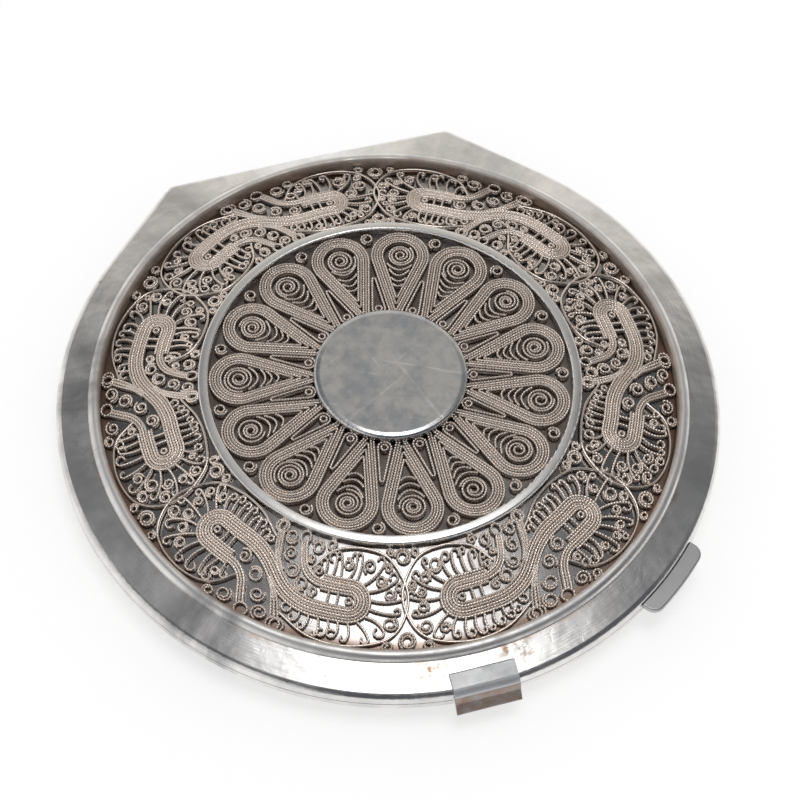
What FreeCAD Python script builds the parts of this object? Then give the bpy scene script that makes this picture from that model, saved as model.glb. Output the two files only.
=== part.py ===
import FreeCAD, Part
import math
import os

# Round silver compact mirror: a hinged lid of filigree over a shallow base pan, with a mirror in each leaf.
# Frame: origin at the centre of the flat underside, +Z up, X along the hinge, hinge at +Y, clasp at -Y.
# All sizes are in millimetres.

# Case
case_radius = 37.5
sheet = 0.6
base_edge = 0.9
foot_inset = 5.5
foot_round = 0.8
parting_gap = 0.1
lid_edge = 1.0
lid_edge_round = 0.9
band_width = 3.7
band_rise = 0.93
corner_round = 1.6

# Bezel ring round the filigree
bezel_wall = 1.3
bezel_bead = 0.85
bezel_round = 0.55
ledge_width = 0.9
ledge_drop = 0.15
ledge_thickness = 0.4

# Hinge
hinge_room = 0.1
lid_overhang = 0.9
base_setback = 0.6
lid_knuckle_length = 28.4
end_knuckle_length = 3.4
knuckle_radius = 0.85
knuckle_end_gap = 0.1
knuckle_clearance = 0.2
pin_radius = 0.4
pin_clearance = 0.05
pin_head_radius = 0.65
pin_head_length = 0.4

# Mirrors, one in each leaf
fit_gap = 0.05
lining_thickness = 0.4
pad_thickness = 0.25
glass_thickness = 1.0
glass_bevel = 0.25
mirror_gap = 0.1
rim_wall = 0.5
rim_lip = 1.2
rim_lip_thickness = 0.4
leaf_gap = 0.5

# Filigree
wire_height = 0.7
dome_rise = 2.6
wire = 0.34
ring_inner_radius = 20.35
ring_width = 1.1
ring_proud = 0.4
ring_round = 0.2
disc_radius = 8.6
disc_thickness = 0.7
disc_round = 0.3

# Rosette of wound petals
petal_count = 15
petal_phase = 22.0
petal_gap = 0.06
petal_band = 0.95
petal_tip_radius = 0.5
petal_tuck = 1.0
coil_start = 0.5
coil_turns = 3
crescent_pitch = 0.95
drop_clearance = 0.05

# Scrolled panels of the outer band; the motif's sizes are for a band of motif_half and scale with the band
panel_count = 6
panel_phase = 107.3
panel_gap = 0.06
motif_half = 5.325
scroll_band = 1.75
scroll_curl = 1.4
scroll_slant = 38.0
scroll_bend = 7.0
scroll_reach = 3.1
leg_band = 0.85
leg_bend = 2.8
leg_angle = 65.0
border_bow = 1.7
lash_pitch = 0.96
lash_angle = 18.0
lash_count = 11
fill_coil_gap = 0.38

# Clasp clip
clip_angle = -90.6
clip_width = 7.0
clip_sheet = 0.4
clip_foot = 1.5
clip_standoff = 0.05
clip_bend = 1.2
clip_face = 0.3
clip_face_angle = 78.0
clip_crease = 0.35
clip_lip = 1.1
clip_lip_angle = 50.0

# Thumb tab
tab_angle = -53.15
tab_width = 9.6
tab_reach = 1.75
tab_thickness = 0.6
tab_drop = 0.1
tab_round = 1.3
tab_edge_round = 0.2

# Levels and radii that follow
leaf_stack = pad_thickness + glass_thickness + rim_lip_thickness
base_height = sheet + 2 * leaf_stack + leaf_gap - ledge_drop - ledge_thickness - parting_gap
lid_z = base_height + parting_gap
bezel_outer = case_radius - band_width
bezel_inner = bezel_outer - bezel_wall
hinge_y = bezel_outer + hinge_room + knuckle_radius
hinge_z = base_height + parting_gap / 2
lid_hinge_edge = hinge_y + lid_overhang
base_hinge_edge = hinge_y - base_setback
hinge_half = lid_knuckle_length / 2 + knuckle_end_gap + end_knuckle_length
foot_radius = case_radius - foot_inset
base_shoulder = base_height - base_edge
lid_shoulder = lid_z + lid_edge
band_top = lid_shoulder + band_rise
bezel_top = band_top + bezel_bead
ledge_top = lid_z + ledge_drop + ledge_thickness
filigree_edge = ledge_top + lining_thickness + wire_height
filigree_top = filigree_edge + dome_rise
filigree_low = filigree_top - wire_height
ring_outer_radius = ring_inner_radius + ring_width
lid_glass_radius = bezel_inner - ledge_width - mirror_gap
band_inner = ring_outer_radius
band_outer = bezel_inner - fit_gap
band_middle = (band_inner + band_outer) / 2
band_half = (band_outer - band_inner) / 2
panel_half = math.pi * band_middle / panel_count
up = FreeCAD.Vector(0, 0, 1)
center = FreeCAD.Vector(0, 0, 0)


def point(x, y, z=0.0):
    return FreeCAD.Vector(x, y, z)


def polar(radius, degrees, z=0.0):
    angle = math.radians(degrees)
    return FreeCAD.Vector(radius * math.cos(angle), radius * math.sin(angle), z)


def line(a, b):
    return Part.LineSegment(a, b).toShape()


def arc(a, middle, b):
    return Part.Arc(a, middle, b).toShape()


def disc(radius, z, height):
    return Part.makeCylinder(radius, height, point(0, 0, z))


def turned(profile):
    """Solid of revolution about Z from corners given as (radius, height)."""
    corners = [point(r, 0, z) for r, z in profile]
    face = Part.Face(Part.makePolygon(corners + corners[:1]))
    return face.revolve(center, up, 360)


def round_edges(solid, radius, choose):
    return solid.makeFillet(radius, [edge for edge in solid.Edges if choose(edge)])


def level_at(edge, z):
    """True for an edge that lies in the plane of the given height."""
    tolerance = 1e-5
    return edge.BoundBox.ZLength < tolerance and abs(edge.BoundBox.ZMax - z) < tolerance


# The case's outline: a circle and a straight hinge side, joined by tangents and rounded corners


def side_normal():
    """Angle of the tangent side's outward normal, in radians; both leaves share the lid's sides."""
    corner_distance = math.hypot(hinge_half, lid_hinge_edge)
    return math.atan2(lid_hinge_edge, hinge_half) - math.acos(case_radius / corner_distance)


def outline_points(hinge_edge, inset):
    """Vertices and arc middles of the outline's +X half, moved inward, from the front to the hinge."""
    normal = side_normal()
    radius = case_radius - inset
    rounding = corner_round - inset
    cy = hinge_edge - corner_round
    cx = (case_radius - corner_round - cy * math.sin(normal)) / math.cos(normal)
    middle = (normal + math.pi / 2) / 2
    tangent = point(radius * math.cos(normal), radius * math.sin(normal))
    bearings = normal, middle, math.pi / 2
    corner = [point(cx + rounding * math.cos(a), cy + rounding * math.sin(a)) for a in bearings]
    front = point(0, -radius)
    flank = polar(radius, (math.degrees(normal) - 90) / 2)
    return front, flank, tangent, corner


def mirrored_x(p):
    return point(-p.x, p.y, p.z)


def outline(hinge_edge, inset, z):
    """Closed wire of a leaf's outline, moved inward by the inset."""
    front, flank, tangent, corner = outline_points(hinge_edge, inset)
    half = [arc(front, flank, tangent), line(tangent, corner[0]), arc(*corner)]
    other = [
        arc(mirrored_x(corner[2]), mirrored_x(corner[1]), mirrored_x(corner[0])),
        line(mirrored_x(corner[0]), mirrored_x(tangent)),
        arc(mirrored_x(tangent), mirrored_x(flank), front),
    ]
    wire_shape = Part.Wire(half + [line(corner[2], mirrored_x(corner[2]))] + other)
    wire_shape.translate(point(0, 0, z))
    return wire_shape


def matching_circle(hinge_edge, radius, z):
    """Circle cut at the same bearings as the outline's vertices, so that the two loft cleanly."""
    front, flank, tangent, corner = outline_points(hinge_edge, 0)
    right = [-90.0] + [math.degrees(math.atan2(p.y, p.x)) for p in (tangent, corner[0], corner[2])]
    bearings = right + [180.0 - a for a in reversed(right)]
    edges = []
    for a, b in zip(bearings[:-1], bearings[1:]):
        edges.append(arc(polar(radius, a, z), polar(radius, (a + b) / 2, z), polar(radius, b, z)))
    return Part.Wire(edges)


def prism(hinge_edge, inset, low, high):
    return Part.Face(outline(hinge_edge, inset, low)).extrude(point(0, 0, high - low))


def flare(hinge_edge, inset, outline_z, radius, circle_z):
    """Ruled solid between a leaf's outline and a circle."""
    wires = [outline(hinge_edge, inset, outline_z), matching_circle(hinge_edge, radius, circle_z)]
    return Part.makeLoft(wires, True, True)


def hinge_cut(x_low, x_high, radius):
    return Part.makeCylinder(radius, x_high - x_low, point(x_low, hinge_y, hinge_z), point(1, 0, 0))


def hinge_spans():
    """The lid's long knuckle and the base's two end knuckles, as spans along X."""
    inner = lid_knuckle_length / 2
    outer = inner + knuckle_end_gap
    end = outer + end_knuckle_length
    return (-inner, inner), (-end, -outer), (outer, end)


def notch(frame, own, others):
    """Seats for a leaf's own knuckles, and room for the other leaf's and for the pin's heads."""
    for low, high in own:
        frame = frame.cut(hinge_cut(low, high, knuckle_radius))
    heads = [(hinge_half, hinge_half + pin_head_length), (-hinge_half - pin_head_length, -hinge_half)]
    room = knuckle_radius + knuckle_clearance
    for low, high in others + heads:
        frame = frame.cut(hinge_cut(low - knuckle_end_gap, high + knuckle_end_gap, room))
    return frame


# Base leaf


def base_pan():
    edge = base_hinge_edge
    body = flare(edge, 0, base_shoulder, foot_radius, 0).fuse(prism(edge, 0, base_shoulder, base_height))
    body = round_edges(body.removeSplitter(), foot_round, lambda e: level_at(e, 0))
    hollow = flare(edge, sheet, base_shoulder, foot_radius - sheet / 2, sheet)
    hollow = hollow.fuse(prism(edge, sheet, base_shoulder, base_height + sheet))
    lid_span, left_span, right_span = hinge_spans()
    return notch(body.cut(hollow), [left_span, right_span], [lid_span])


def mirror_pad(radius, z):
    return disc(radius, z, pad_thickness)


def mirror_glass(radius, z, shown_z):
    glass = disc(radius, z, glass_thickness)
    return glass.makeChamfer(glass_bevel, [edge for edge in glass.Edges if level_at(edge, shown_z)])


def mirror_rim(radius, seat_z, lip_z, shown_z):
    """L-section ring: a wall round the glass, and a lip over the edge of its shown face."""
    inner = radius + mirror_gap
    outer = inner + rim_wall
    lip = radius - rim_lip
    return turned([
        (inner, seat_z), (outer, seat_z), (outer, shown_z), (lip, shown_z), (lip, lip_z), (inner, lip_z),
    ])


def base_mirror_parts():
    radius = foot_radius - sheet / 2 - rim_wall - mirror_gap - fit_gap
    pad_z = sheet
    glass_z = pad_z + pad_thickness
    lip_z = glass_z + glass_thickness
    return {
        "base_mirror_pad": mirror_pad(radius, pad_z),
        "base_mirror": mirror_glass(radius, glass_z, lip_z),
        "base_mirror_rim": mirror_rim(radius, sheet, lip_z, lip_z + rim_lip_thickness),
    }


# Lid leaf


def lid_frame():
    edge = lid_hinge_edge
    body = prism(edge, 0, lid_z, lid_shoulder).fuse(flare(edge, 0, lid_shoulder, bezel_outer, band_top))
    body = round_edges(body.removeSplitter(), lid_edge_round, lambda e: level_at(e, lid_shoulder))
    roof = lid_shoulder - sheet / 2
    hollow = prism(edge, sheet, lid_z - sheet, roof)
    hollow = hollow.fuse(flare(edge, sheet, roof, bezel_outer, band_top - sheet))
    opening = disc(bezel_outer, lid_z, band_top)
    lid_span, left_span, right_span = hinge_spans()
    return notch(body.cut(hollow).cut(opening), [lid_span], [left_span, right_span])


def bezel_ring():
    low = lid_z + ledge_drop
    ledge_inner = bezel_inner - ledge_width
    ring = turned([
        (ledge_inner, low), (bezel_outer, low), (bezel_outer, bezel_top),
        (bezel_inner, bezel_top), (bezel_inner, ledge_top), (ledge_inner, ledge_top),
    ])
    largest_round = 0.45 * bezel_wall
    return round_edges(ring, min(bezel_round, largest_round), lambda e: level_at(e, bezel_top))


def lining_plate():
    """Sheet under the filigree: flat below the rosette, then down its slope to the bezel's ledge."""
    top, edge = filigree_low - fit_gap, ledge_top + lining_thickness
    return turned([
        (0, top), (band_inner, top), (band_outer, edge), (band_outer, ledge_top),
        (band_inner, top - lining_thickness), (0, top - lining_thickness),
    ])


def lid_mirror_parts():
    glass_top = ledge_top - pad_thickness
    glass_z = glass_top - glass_thickness
    lip_z = glass_z - rim_lip_thickness
    return {
        "lining_plate": lining_plate(),
        "lid_mirror_pad": mirror_pad(lid_glass_radius, glass_top),
        "lid_mirror": mirror_glass(lid_glass_radius, glass_z, glass_z),
        "lid_mirror_rim": mirror_rim(lid_glass_radius, lid_z + ledge_drop, glass_z, lip_z),
    }


def divider_ring():
    top = filigree_top + ring_proud
    ring = turned([
        (ring_inner_radius, filigree_low), (ring_outer_radius, filigree_low),
        (ring_outer_radius, top), (ring_inner_radius, top),
    ])
    return round_edges(ring, ring_round, lambda e: level_at(e, top))


def center_disc():
    top = filigree_top + disc_thickness
    plate = disc(disc_radius, filigree_top, disc_thickness)
    return round_edges(plate, disc_round, lambda e: level_at(e, top))


# Flat strips of wire on edge, drawn as faces in the plane


def advance(place, size, turn):
    """Place (x, y, heading) after a straight run (size, 0) or an arc (radius, turn); left is positive."""
    x, y, heading = place
    if turn == 0:
        return x + size * math.cos(heading), y + size * math.sin(heading), heading
    side = math.copysign(size, turn)
    ahead = heading + math.radians(turn)
    x += side * (math.sin(ahead) - math.sin(heading))
    y -= side * (math.cos(ahead) - math.cos(heading))
    return x, y, ahead


def beside(place, offset):
    x, y, heading = place
    return point(x - offset * math.sin(heading), y + offset * math.cos(heading))


def edges_beside(place, moves, offset):
    """Edges along straight runs and arcs, set off to the left, and the place at the far end."""
    edges = []
    for size, turn in moves:
        middle = advance(place, size if turn else size / 2, turn / 2)
        last = advance(place, size, turn)
        ends = beside(place, offset), beside(last, offset)
        edges.append(arc(ends[0], beside(middle, offset), ends[1]) if turn else line(*ends))
        place = last
    return edges, place


def round_end(place, half):
    """Half circle from the left edge of a strip to its right edge, ahead of the place."""
    x, y, heading = place
    nose = point(x + half * math.cos(heading), y + half * math.sin(heading))
    return arc(beside(place, half), nose, beside(place, -half))


def strip(place, moves, width):
    """Face of constant width along straight runs and arcs, with round ends."""
    half = width / 2
    left, last = edges_beside(place, moves, half)
    right, last = edges_beside(place, moves, -half)
    turned_back = place[0], place[1], place[2] + math.pi
    ends = round_end(last, half), round_end(turned_back, half)
    return Part.Face(Part.Wire(left + [ends[0]] + right[::-1] + [ends[1]]))


def coil_moves(start_radius, pitch, half_turns):
    return [(start_radius + pitch / 2 * k, 180.0) for k in range(half_turns)]


def washer(x, y, outer, inner):
    full, hole = [Part.Face(Part.Wire(Part.makeCircle(r, point(x, y)))) for r in (outer, inner)]
    return full.cut(hole)


def teardrop(bulb_x, bulb, tip_x, tip):
    """Face bounded by a bulb and a small tip circle on the X axis and their two tangents."""
    toward = math.copysign(1, tip_x - bulb_x)
    lean = math.asin((bulb - tip) / abs(bulb_x - tip_x))
    sine, cosine = toward * math.sin(lean), math.cos(lean)
    bulb_top, bulb_low = [point(bulb_x + bulb * sine, side * bulb * cosine) for side in (1, -1)]
    tip_top, tip_low = [point(tip_x + tip * sine, side * tip * cosine) for side in (1, -1)]
    return Part.Face(Part.Wire([
        arc(bulb_top, point(bulb_x - toward * bulb, 0), bulb_low), line(bulb_low, tip_low),
        arc(tip_low, point(tip_x + toward * tip, 0), tip_top), line(tip_top, bulb_top),
    ]))


def whole(shape):
    """The one solid of a shape, or a compound of its solids."""
    return shape.Solids[0] if len(shape.Solids) == 1 else Part.makeCompound(shape.Solids)


def joined(faces, low, height):
    """Strips of one height, soldered where they cross."""
    solids = [solid for face in faces for solid in face.extrude(point(0, 0, height)).Solids]
    for solid in solids:
        solid.translate(point(0, 0, low))
    if len(solids) == 1:
        return solids[0]
    return whole(solids[0].multiFuse(solids[1:]).removeSplitter())


def spun(shape, degrees):
    copy = shape.copy()
    copy.rotate(center, up, degrees)
    return copy


# Rosette


half_sector = math.pi / petal_count
petal_reach = ring_inner_radius - petal_gap
petal_bulb = petal_reach * math.sin(half_sector) / (1 + math.sin(half_sector)) - petal_gap
petal_bulb_x = petal_reach - petal_bulb
petal_tip_x = disc_radius - petal_tuck + petal_tip_radius
petal_lean = math.asin((petal_bulb - petal_tip_radius) / (petal_bulb_x - petal_tip_x))


def petal():
    """Wound petal on the X axis: a teardrop band, a coil in the bulb and crescents toward the tip."""
    drop = teardrop(petal_bulb_x, petal_bulb, petal_tip_x, petal_tip_radius)
    inner_bulb = petal_bulb - petal_band
    inner_tip = wire / 2
    inner_tip_x = petal_bulb_x - (inner_bulb - inner_tip) / math.sin(petal_lean)
    faces = [drop.cut(teardrop(petal_bulb_x, inner_bulb, inner_tip_x, inner_tip))]
    start = petal_bulb_x + coil_start, 0.0, math.pi / 2
    coil_pitch = (inner_bulb + wire / 4 - coil_start) / coil_turns
    faces.append(strip(start, coil_moves(coil_start, coil_pitch, 2 * coil_turns), wire))
    radius = inner_bulb + crescent_pitch / 2
    while petal_bulb_x - radius > inner_tip_x:
        faces.append(washer(petal_bulb_x, 0, radius + wire / 2, radius - wire / 2).common(drop))
        radius += crescent_pitch
    return joined(faces, filigree_low, wire_height)


def rosette_ring():
    """Small ring that touches two petals and the divider ring, on the X axis."""
    cosine = petal_bulb_x * math.cos(half_sector)
    apart = petal_reach ** 2 + petal_bulb_x ** 2 - 2 * petal_reach * cosine - petal_bulb ** 2
    radius = apart / (2 * (petal_bulb + petal_reach - cosine)) - petal_gap
    ring = washer(petal_reach - petal_gap - radius, 0, radius, radius - wire)
    return joined([ring], filigree_low, wire_height)


def rosette_drop():
    """Slim loop in the gap between two petals beside the centre disc, on the X axis."""
    slope = math.sin(petal_lean - half_sector)
    root = petal_tip_x * math.sin(petal_lean) - petal_tip_radius - drop_clearance
    bulb = (root - disc_radius * slope) / (1 + slope)
    bulb_x = disc_radius + bulb
    tip = wire
    tip_x = min((root - tip) / slope, petal_bulb_x - petal_bulb)
    tip = root - tip_x * slope
    outer = teardrop(bulb_x, bulb, tip_x, tip)
    inner = teardrop(bulb_x, bulb - wire, tip_x, tip - wire / 2)
    return joined([outer.cut(inner)], filigree_low, wire_height)


def rosette_parts():
    step = 360.0 / petal_count
    one = petal()
    parts = {}
    for k in range(petal_count):
        parts[f"filigree_petal_{k + 1:02d}"] = spun(one, petal_phase + k * step)
    between = [petal_phase + (k + 0.5) * step for k in range(petal_count)]
    ring, drop = rosette_ring(), rosette_drop()
    parts["rosette_rings"] = Part.makeCompound([spun(ring, a) for a in between])
    parts["rosette_drops"] = Part.makeCompound([spun(drop, a) for a in between])
    return parts


# Scrolled panels: drawn on a flat band, s to the right and t outward, then bent round the case


def motif(size):
    """Size of the panels' motif on this band."""
    return size * band_half / motif_half


def on_band(s, t, heading):
    """Place in the plane of a place on the flat band; the panel's middle is on the X axis."""
    angle = s / band_middle
    radius = band_middle + t
    return radius * math.cos(angle), -radius * math.sin(angle), math.radians(heading - 90) - angle


def bent_round(s, t, heading, moves):
    """Moves on the flat band, bent round the case: each run keeps its length and takes its share."""
    least_bend = 0.05
    bent = []
    place = s, t, math.radians(heading)
    for size, turn in moves:
        after = advance(place, size, turn)
        length = size * math.radians(abs(turn)) if turn else size
        bend = turn - math.degrees((after[0] - place[0]) / band_middle)
        straight = abs(bend) < least_bend
        bent.append((length, 0.0) if straight else (length / math.radians(abs(bend)), bend))
        place = after
    return bent


def band_strip(s, t, heading, moves, width):
    return strip(on_band(s, t, heading), bent_round(s, t, heading, moves), width)


def band_disc(s, t, radius):
    x, y, heading = on_band(s, t, 0)
    return Part.Face(Part.Wire(Part.makeCircle(radius, point(x, y))))


def half_scroll(side):
    """One half of a panel's scroll and its fill, to the right of its middle (side 1) or the left (-1)."""
    facing = 0 if side > 0 else 180
    bow, reach = motif(scroll_curl), motif(scroll_reach)
    run = [(bow / 2, 0.0), (motif(scroll_bend), scroll_slant), (reach, 0.0)]
    curl = [(bow, 180.0), (reach, 0.0)]
    leg = [(reach, 0.0), (motif(leg_bend), -leg_angle), (2 * band_half, 0.0)]
    faces = [band_strip(0, 0, facing - scroll_slant, run + curl, motif(scroll_band))]
    place = 0.0, 0.0, math.radians(-scroll_slant)
    for move in run:
        place = advance(place, *move)
    curl_s, low_t = place[0], place[1]
    curl_t = low_t + bow
    faces.append(band_strip(side * curl_s, side * (curl_t + bow), facing + 180, leg, motif(leg_band)))
    return faces + lashes(side, facing, curl_s, curl_t, low_t) + fill_coils(side, facing, curl_s, curl_t)


def lashes(side, facing, curl_s, curl_t, low_t):
    """Thin wires that fan from the scroll to the frame: a row along its run and a fan round its curl."""
    length = panel_half
    faces = []
    pitch = motif(lash_pitch)
    count = int(curl_s / pitch)
    for k in range(1, count):
        s = curl_s - k * pitch
        lean = lash_angle * k / count
        faces.append(band_strip(side * s, side * low_t, facing - 90 - lean, [(length, 0.0)], wire))
    for k in range(lash_count):
        angle = facing - 90 + 180 * k / (lash_count - 1)
        faces.append(band_strip(side * curl_s, side * curl_t, angle, [(length, 0.0)], wire))
    eye = band_disc(side * curl_s, side * curl_t, motif(scroll_curl))
    return [face.cut(eye) for face in faces]


def fill_coils(side, facing, curl_s, curl_t):
    """Two open coils between the scroll's upper edge and the frame, touching both."""
    top = curl_t + motif(scroll_curl + scroll_band / 2)
    pitch = wire + fill_coil_gap
    room = band_half - top + wire
    radius = (room + 1.5 * pitch) / 2
    turns = max(1, int((radius - 1.5 * wire) / pitch))
    start = radius - wire / 2 - turns * pitch
    t = top - wire / 2 + radius - pitch / 2
    faces = []
    for s in (curl_s - 2 * radius + pitch, curl_s):
        x, y, heading = on_band(side * s, side * t, facing)
        place = x + start * math.cos(heading), y + start * math.sin(heading), heading + math.pi / 2
        faces.append(strip(place, coil_moves(start, pitch, 2 * turns), wire))
    return faces


border_radius = (band_half ** 2 + motif(border_bow) ** 2) / (2 * motif(border_bow))


def border_path(side):
    """Start and moves of the bowed wire at a panel's right (side 1) or left (side -1), in the plane."""
    reach = band_half + wire
    sweep = 2 * math.degrees(math.asin(reach / border_radius))
    bow = border_radius * (1 - math.cos(math.radians(sweep / 2)))
    edge = panel_half - panel_gap - wire / 2 - bow
    start = side * edge, -side * reach, 90 * side - sweep / 2
    return on_band(*start), bent_round(*start, [(border_radius, sweep)])


def borders():
    """The two bowed wires that bound a panel, back to back with its neighbours'."""
    return [strip(*border_path(side), wire) for side in (1, -1)]


def inside_borders():
    """Face of the panel's plan, from one bowed wire's middle to the other's."""
    right, top = edges_beside(*border_path(1), 0)
    left, low = edges_beside(*border_path(-1), 0)
    start_right, start_left = [point(*border_path(side)[0][:2]) for side in (1, -1)]
    end_right, end_left = point(*top[:2]), point(*low[:2])
    beyond = band_outer + band_half
    far_right, far_left = point(beyond, end_right.y), point(beyond, start_left.y)
    rim = [line(end_right, far_right), line(far_right, far_left), line(far_left, start_left)]
    return Part.Face(Part.Wire(right + rim + left + [line(end_left, start_right)]))


def panel_faces():
    """The panel's scroll and fill, trimmed to its plan, with the two bowed wires."""
    plan = inside_borders()
    kept = [face.common(plan) for face in half_scroll(1) + half_scroll(-1)]
    return [face for shape in kept for face in shape.Faces] + borders()


def dome_sector(half_angle):
    """Sloping layer of wire height from the divider ring down to the bezel, as wide as one panel."""
    top_in, top_out = point(band_inner, 0, filigree_top), point(band_outer, 0, filigree_edge)
    drop = point(0, 0, -wire_height)
    corners = [top_in, top_out, top_out + drop, top_in + drop]
    face = Part.Face(Part.makePolygon(corners + corners[:1]))
    return spun(face.revolve(center, up, 2 * half_angle), -half_angle)


def on_dome(faces, half_angle):
    """Strips of the flat plan, raised and trimmed to the sloping layer."""
    low = filigree_edge - 2 * wire_height
    tall = joined(faces, low, dome_rise + 3 * wire_height)
    return whole(tall.common(dome_sector(half_angle)))


def panel_rings():
    """The two small rings between a pair of panels, at the bezel and at the divider ring, on the X axis."""
    (x, y, heading), ((bow, sweep),) = border_path(-1)
    side = math.copysign(bow, sweep)
    bow_x, bow_y = x - side * math.sin(heading), y + side * math.cos(heading)
    distance = math.hypot(bow_x, bow_y)
    along = distance * math.cos(math.pi / panel_count - math.atan2(bow_y, bow_x))
    reach = bow + wire / 2
    rings = []
    for edge, inward in ((band_outer, 1), (band_inner, -1)):
        room = reach ** 2 - distance ** 2 + 2 * edge * along - edge ** 2
        radius = room / (2 * (inward * (along - edge) - reach)) - panel_gap
        hole = radius - min(wire, radius / 2)
        rings.append(washer(edge - inward * (radius + panel_gap), 0, radius, hole))
    return [on_dome([ring], 180.0 / panel_count) for ring in rings]


def panel_parts():
    step = 360.0 / panel_count
    one = on_dome(panel_faces(), step / 2)
    other = one.mirror(center, point(0, 1, 0))
    rings = panel_rings()
    parts = {}
    between = []
    for k in range(panel_count):
        angle = panel_phase - k * step
        parts[f"filigree_panel_{k + 1}"] = spun(one if k % 2 == 0 else other, angle)
        between += [spun(ring, angle - step / 2) for ring in rings]
    parts["panel_rings"] = Part.makeCompound(between)
    return parts


# Hinge, clasp and tab


def hinge_parts():
    lid_span, left_span, right_span = hinge_spans()
    bore = pin_radius + pin_clearance

    def knuckle(span):
        return hinge_cut(*span, knuckle_radius).cut(hinge_cut(*span, bore))

    low, high = left_span[0], right_span[1]
    pin = hinge_cut(low - pin_head_length, high + pin_head_length, pin_radius)
    for x_low, x_high in ((low - pin_head_length, low), (high, high + pin_head_length)):
        pin = pin.fuse(hinge_cut(x_low, x_high, pin_head_radius))
    return {
        "lid_knuckle": knuckle(lid_span),
        "base_knuckles": Part.makeCompound([knuckle(left_span), knuckle(right_span)]),
        "hinge_pin": pin.removeSplitter(),
    }


def clasp_clip():
    """Bent strip: a foot on the band, a bend over the edge, a crease at the parting and a finger lip."""
    slope = math.atan2(band_rise, band_width)
    half = clip_sheet / 2
    face_u = case_radius + clip_standoff + half
    bend_u = face_u - clip_bend * (1 - math.sin(slope))
    bend_v = lid_shoulder - (bend_u - case_radius) * math.tan(slope) + half / math.cos(slope)
    start = bend_u - clip_foot * math.cos(slope), bend_v + clip_foot * math.sin(slope), -slope
    moves = [
        (clip_foot, 0.0), (clip_bend, math.degrees(slope) - clip_face_angle), (clip_face, 0.0),
        (clip_crease, clip_face_angle - clip_lip_angle), (clip_lip, 0.0),
    ]
    clip = strip(start, moves, clip_sheet).extrude(point(0, 0, clip_width))
    clip.translate(point(0, 0, -clip_width / 2))
    clip.rotate(center, point(1, 0, 0), 90)
    return spun(clip, clip_angle)


def thumb_tab():
    """Plate on the lid's edge: its outer side runs along the edge, its root is cut to the edge's curve."""
    inner = case_radius - tab_reach
    low = lid_z + tab_drop
    top = low + tab_thickness
    tab = Part.makeBox(2 * tab_reach, tab_width, tab_thickness, point(inner, -tab_width / 2, low))
    tab = tab.common(disc(case_radius + tab_reach, low, tab_thickness))
    upright = tab_thickness / 2
    tab = round_edges(tab, tab_round, lambda e: e.BoundBox.ZLength > upright and e.BoundBox.XMin > inner)
    tab = round_edges(tab, tab_edge_round, lambda e: level_at(e, top) and e.BoundBox.XMax > case_radius)
    return spun(tab.cut(disc(case_radius, 0, 2 * top)), tab_angle)


def build():
    parts = {"base_pan": base_pan(), "lid_frame": lid_frame(), "bezel_ring": bezel_ring()}
    parts["clasp_clip"] = clasp_clip()
    parts["thumb_tab"] = thumb_tab()
    parts.update(base_mirror_parts())
    parts.update(lid_mirror_parts())
    parts.update(hinge_parts())
    parts["divider_ring"] = divider_ring()
    parts["center_disc"] = center_disc()
    parts.update(rosette_parts())
    parts.update(panel_parts())
    return parts


os.makedirs("parts", exist_ok=True)
for name, shape in build().items():
    shape.exportStep(f"parts/{name}.step")
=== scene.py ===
import math

import bpy
import numpy as np
from bpy.props import FloatProperty, FloatVectorProperty, IntProperty, PointerProperty
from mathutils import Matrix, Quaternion, Vector


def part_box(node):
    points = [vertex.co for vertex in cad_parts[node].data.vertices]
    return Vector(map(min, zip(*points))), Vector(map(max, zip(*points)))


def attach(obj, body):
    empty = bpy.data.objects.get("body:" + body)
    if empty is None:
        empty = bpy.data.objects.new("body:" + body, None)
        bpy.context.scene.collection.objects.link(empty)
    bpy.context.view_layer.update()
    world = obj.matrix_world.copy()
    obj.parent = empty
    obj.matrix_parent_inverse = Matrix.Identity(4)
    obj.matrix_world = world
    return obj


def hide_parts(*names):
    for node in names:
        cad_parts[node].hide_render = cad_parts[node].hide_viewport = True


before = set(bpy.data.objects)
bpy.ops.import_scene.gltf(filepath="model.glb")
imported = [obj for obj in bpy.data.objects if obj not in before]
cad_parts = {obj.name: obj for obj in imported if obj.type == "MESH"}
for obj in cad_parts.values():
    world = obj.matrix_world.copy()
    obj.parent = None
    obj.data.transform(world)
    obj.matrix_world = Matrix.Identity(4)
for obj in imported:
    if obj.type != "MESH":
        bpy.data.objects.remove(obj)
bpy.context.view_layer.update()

bl_info = {
    "name": "Filigree Compact Mirror",
    "version": (1, 0, 0),
    "blender": (4, 5, 0),
    "location": "3D View > Sidebar > Compact",
    "description": "Filigree wire, silver finishes and studio for a round folding compact mirror",
    "category": "Object",
}

MM = 0.001
LID = "lid"

# Places that the filigree takes from the frame
DISC_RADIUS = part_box("center_disc")[1].x
RING_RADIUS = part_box("divider_ring")[1].x
LINING_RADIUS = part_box("lining_plate")[1].x
ROSETTE_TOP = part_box("filigree_petal_01")[1].z
PANEL_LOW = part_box("filigree_panel_1")[0].z
CASE_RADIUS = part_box("lid_frame")[1].x
BEZEL_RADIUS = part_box("bezel_ring")[1].x
PETALS = sorted(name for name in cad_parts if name.startswith("filigree_petal"))
PANELS = sorted(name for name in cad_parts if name.startswith("filigree_panel"))


# Settings


def length(name, description, millimetres):
    return FloatProperty(
        name=name, description=description, default=millimetres * MM, unit="LENGTH", precision=5)


def angle(name, description, degrees):
    return FloatProperty(
        name=name, description=description, default=math.radians(degrees), subtype="ANGLE")


def colour(name, description, rgb):
    return FloatVectorProperty(
        name=name, description=description, default=rgb, subtype="COLOR", size=3, min=0, max=1)


def number(name, description, value, **more):
    return FloatProperty(name=name, description=description, default=value, **more)


def count(name, description, value, least):
    return IntProperty(name=name, description=description, default=value, min=least)


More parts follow.
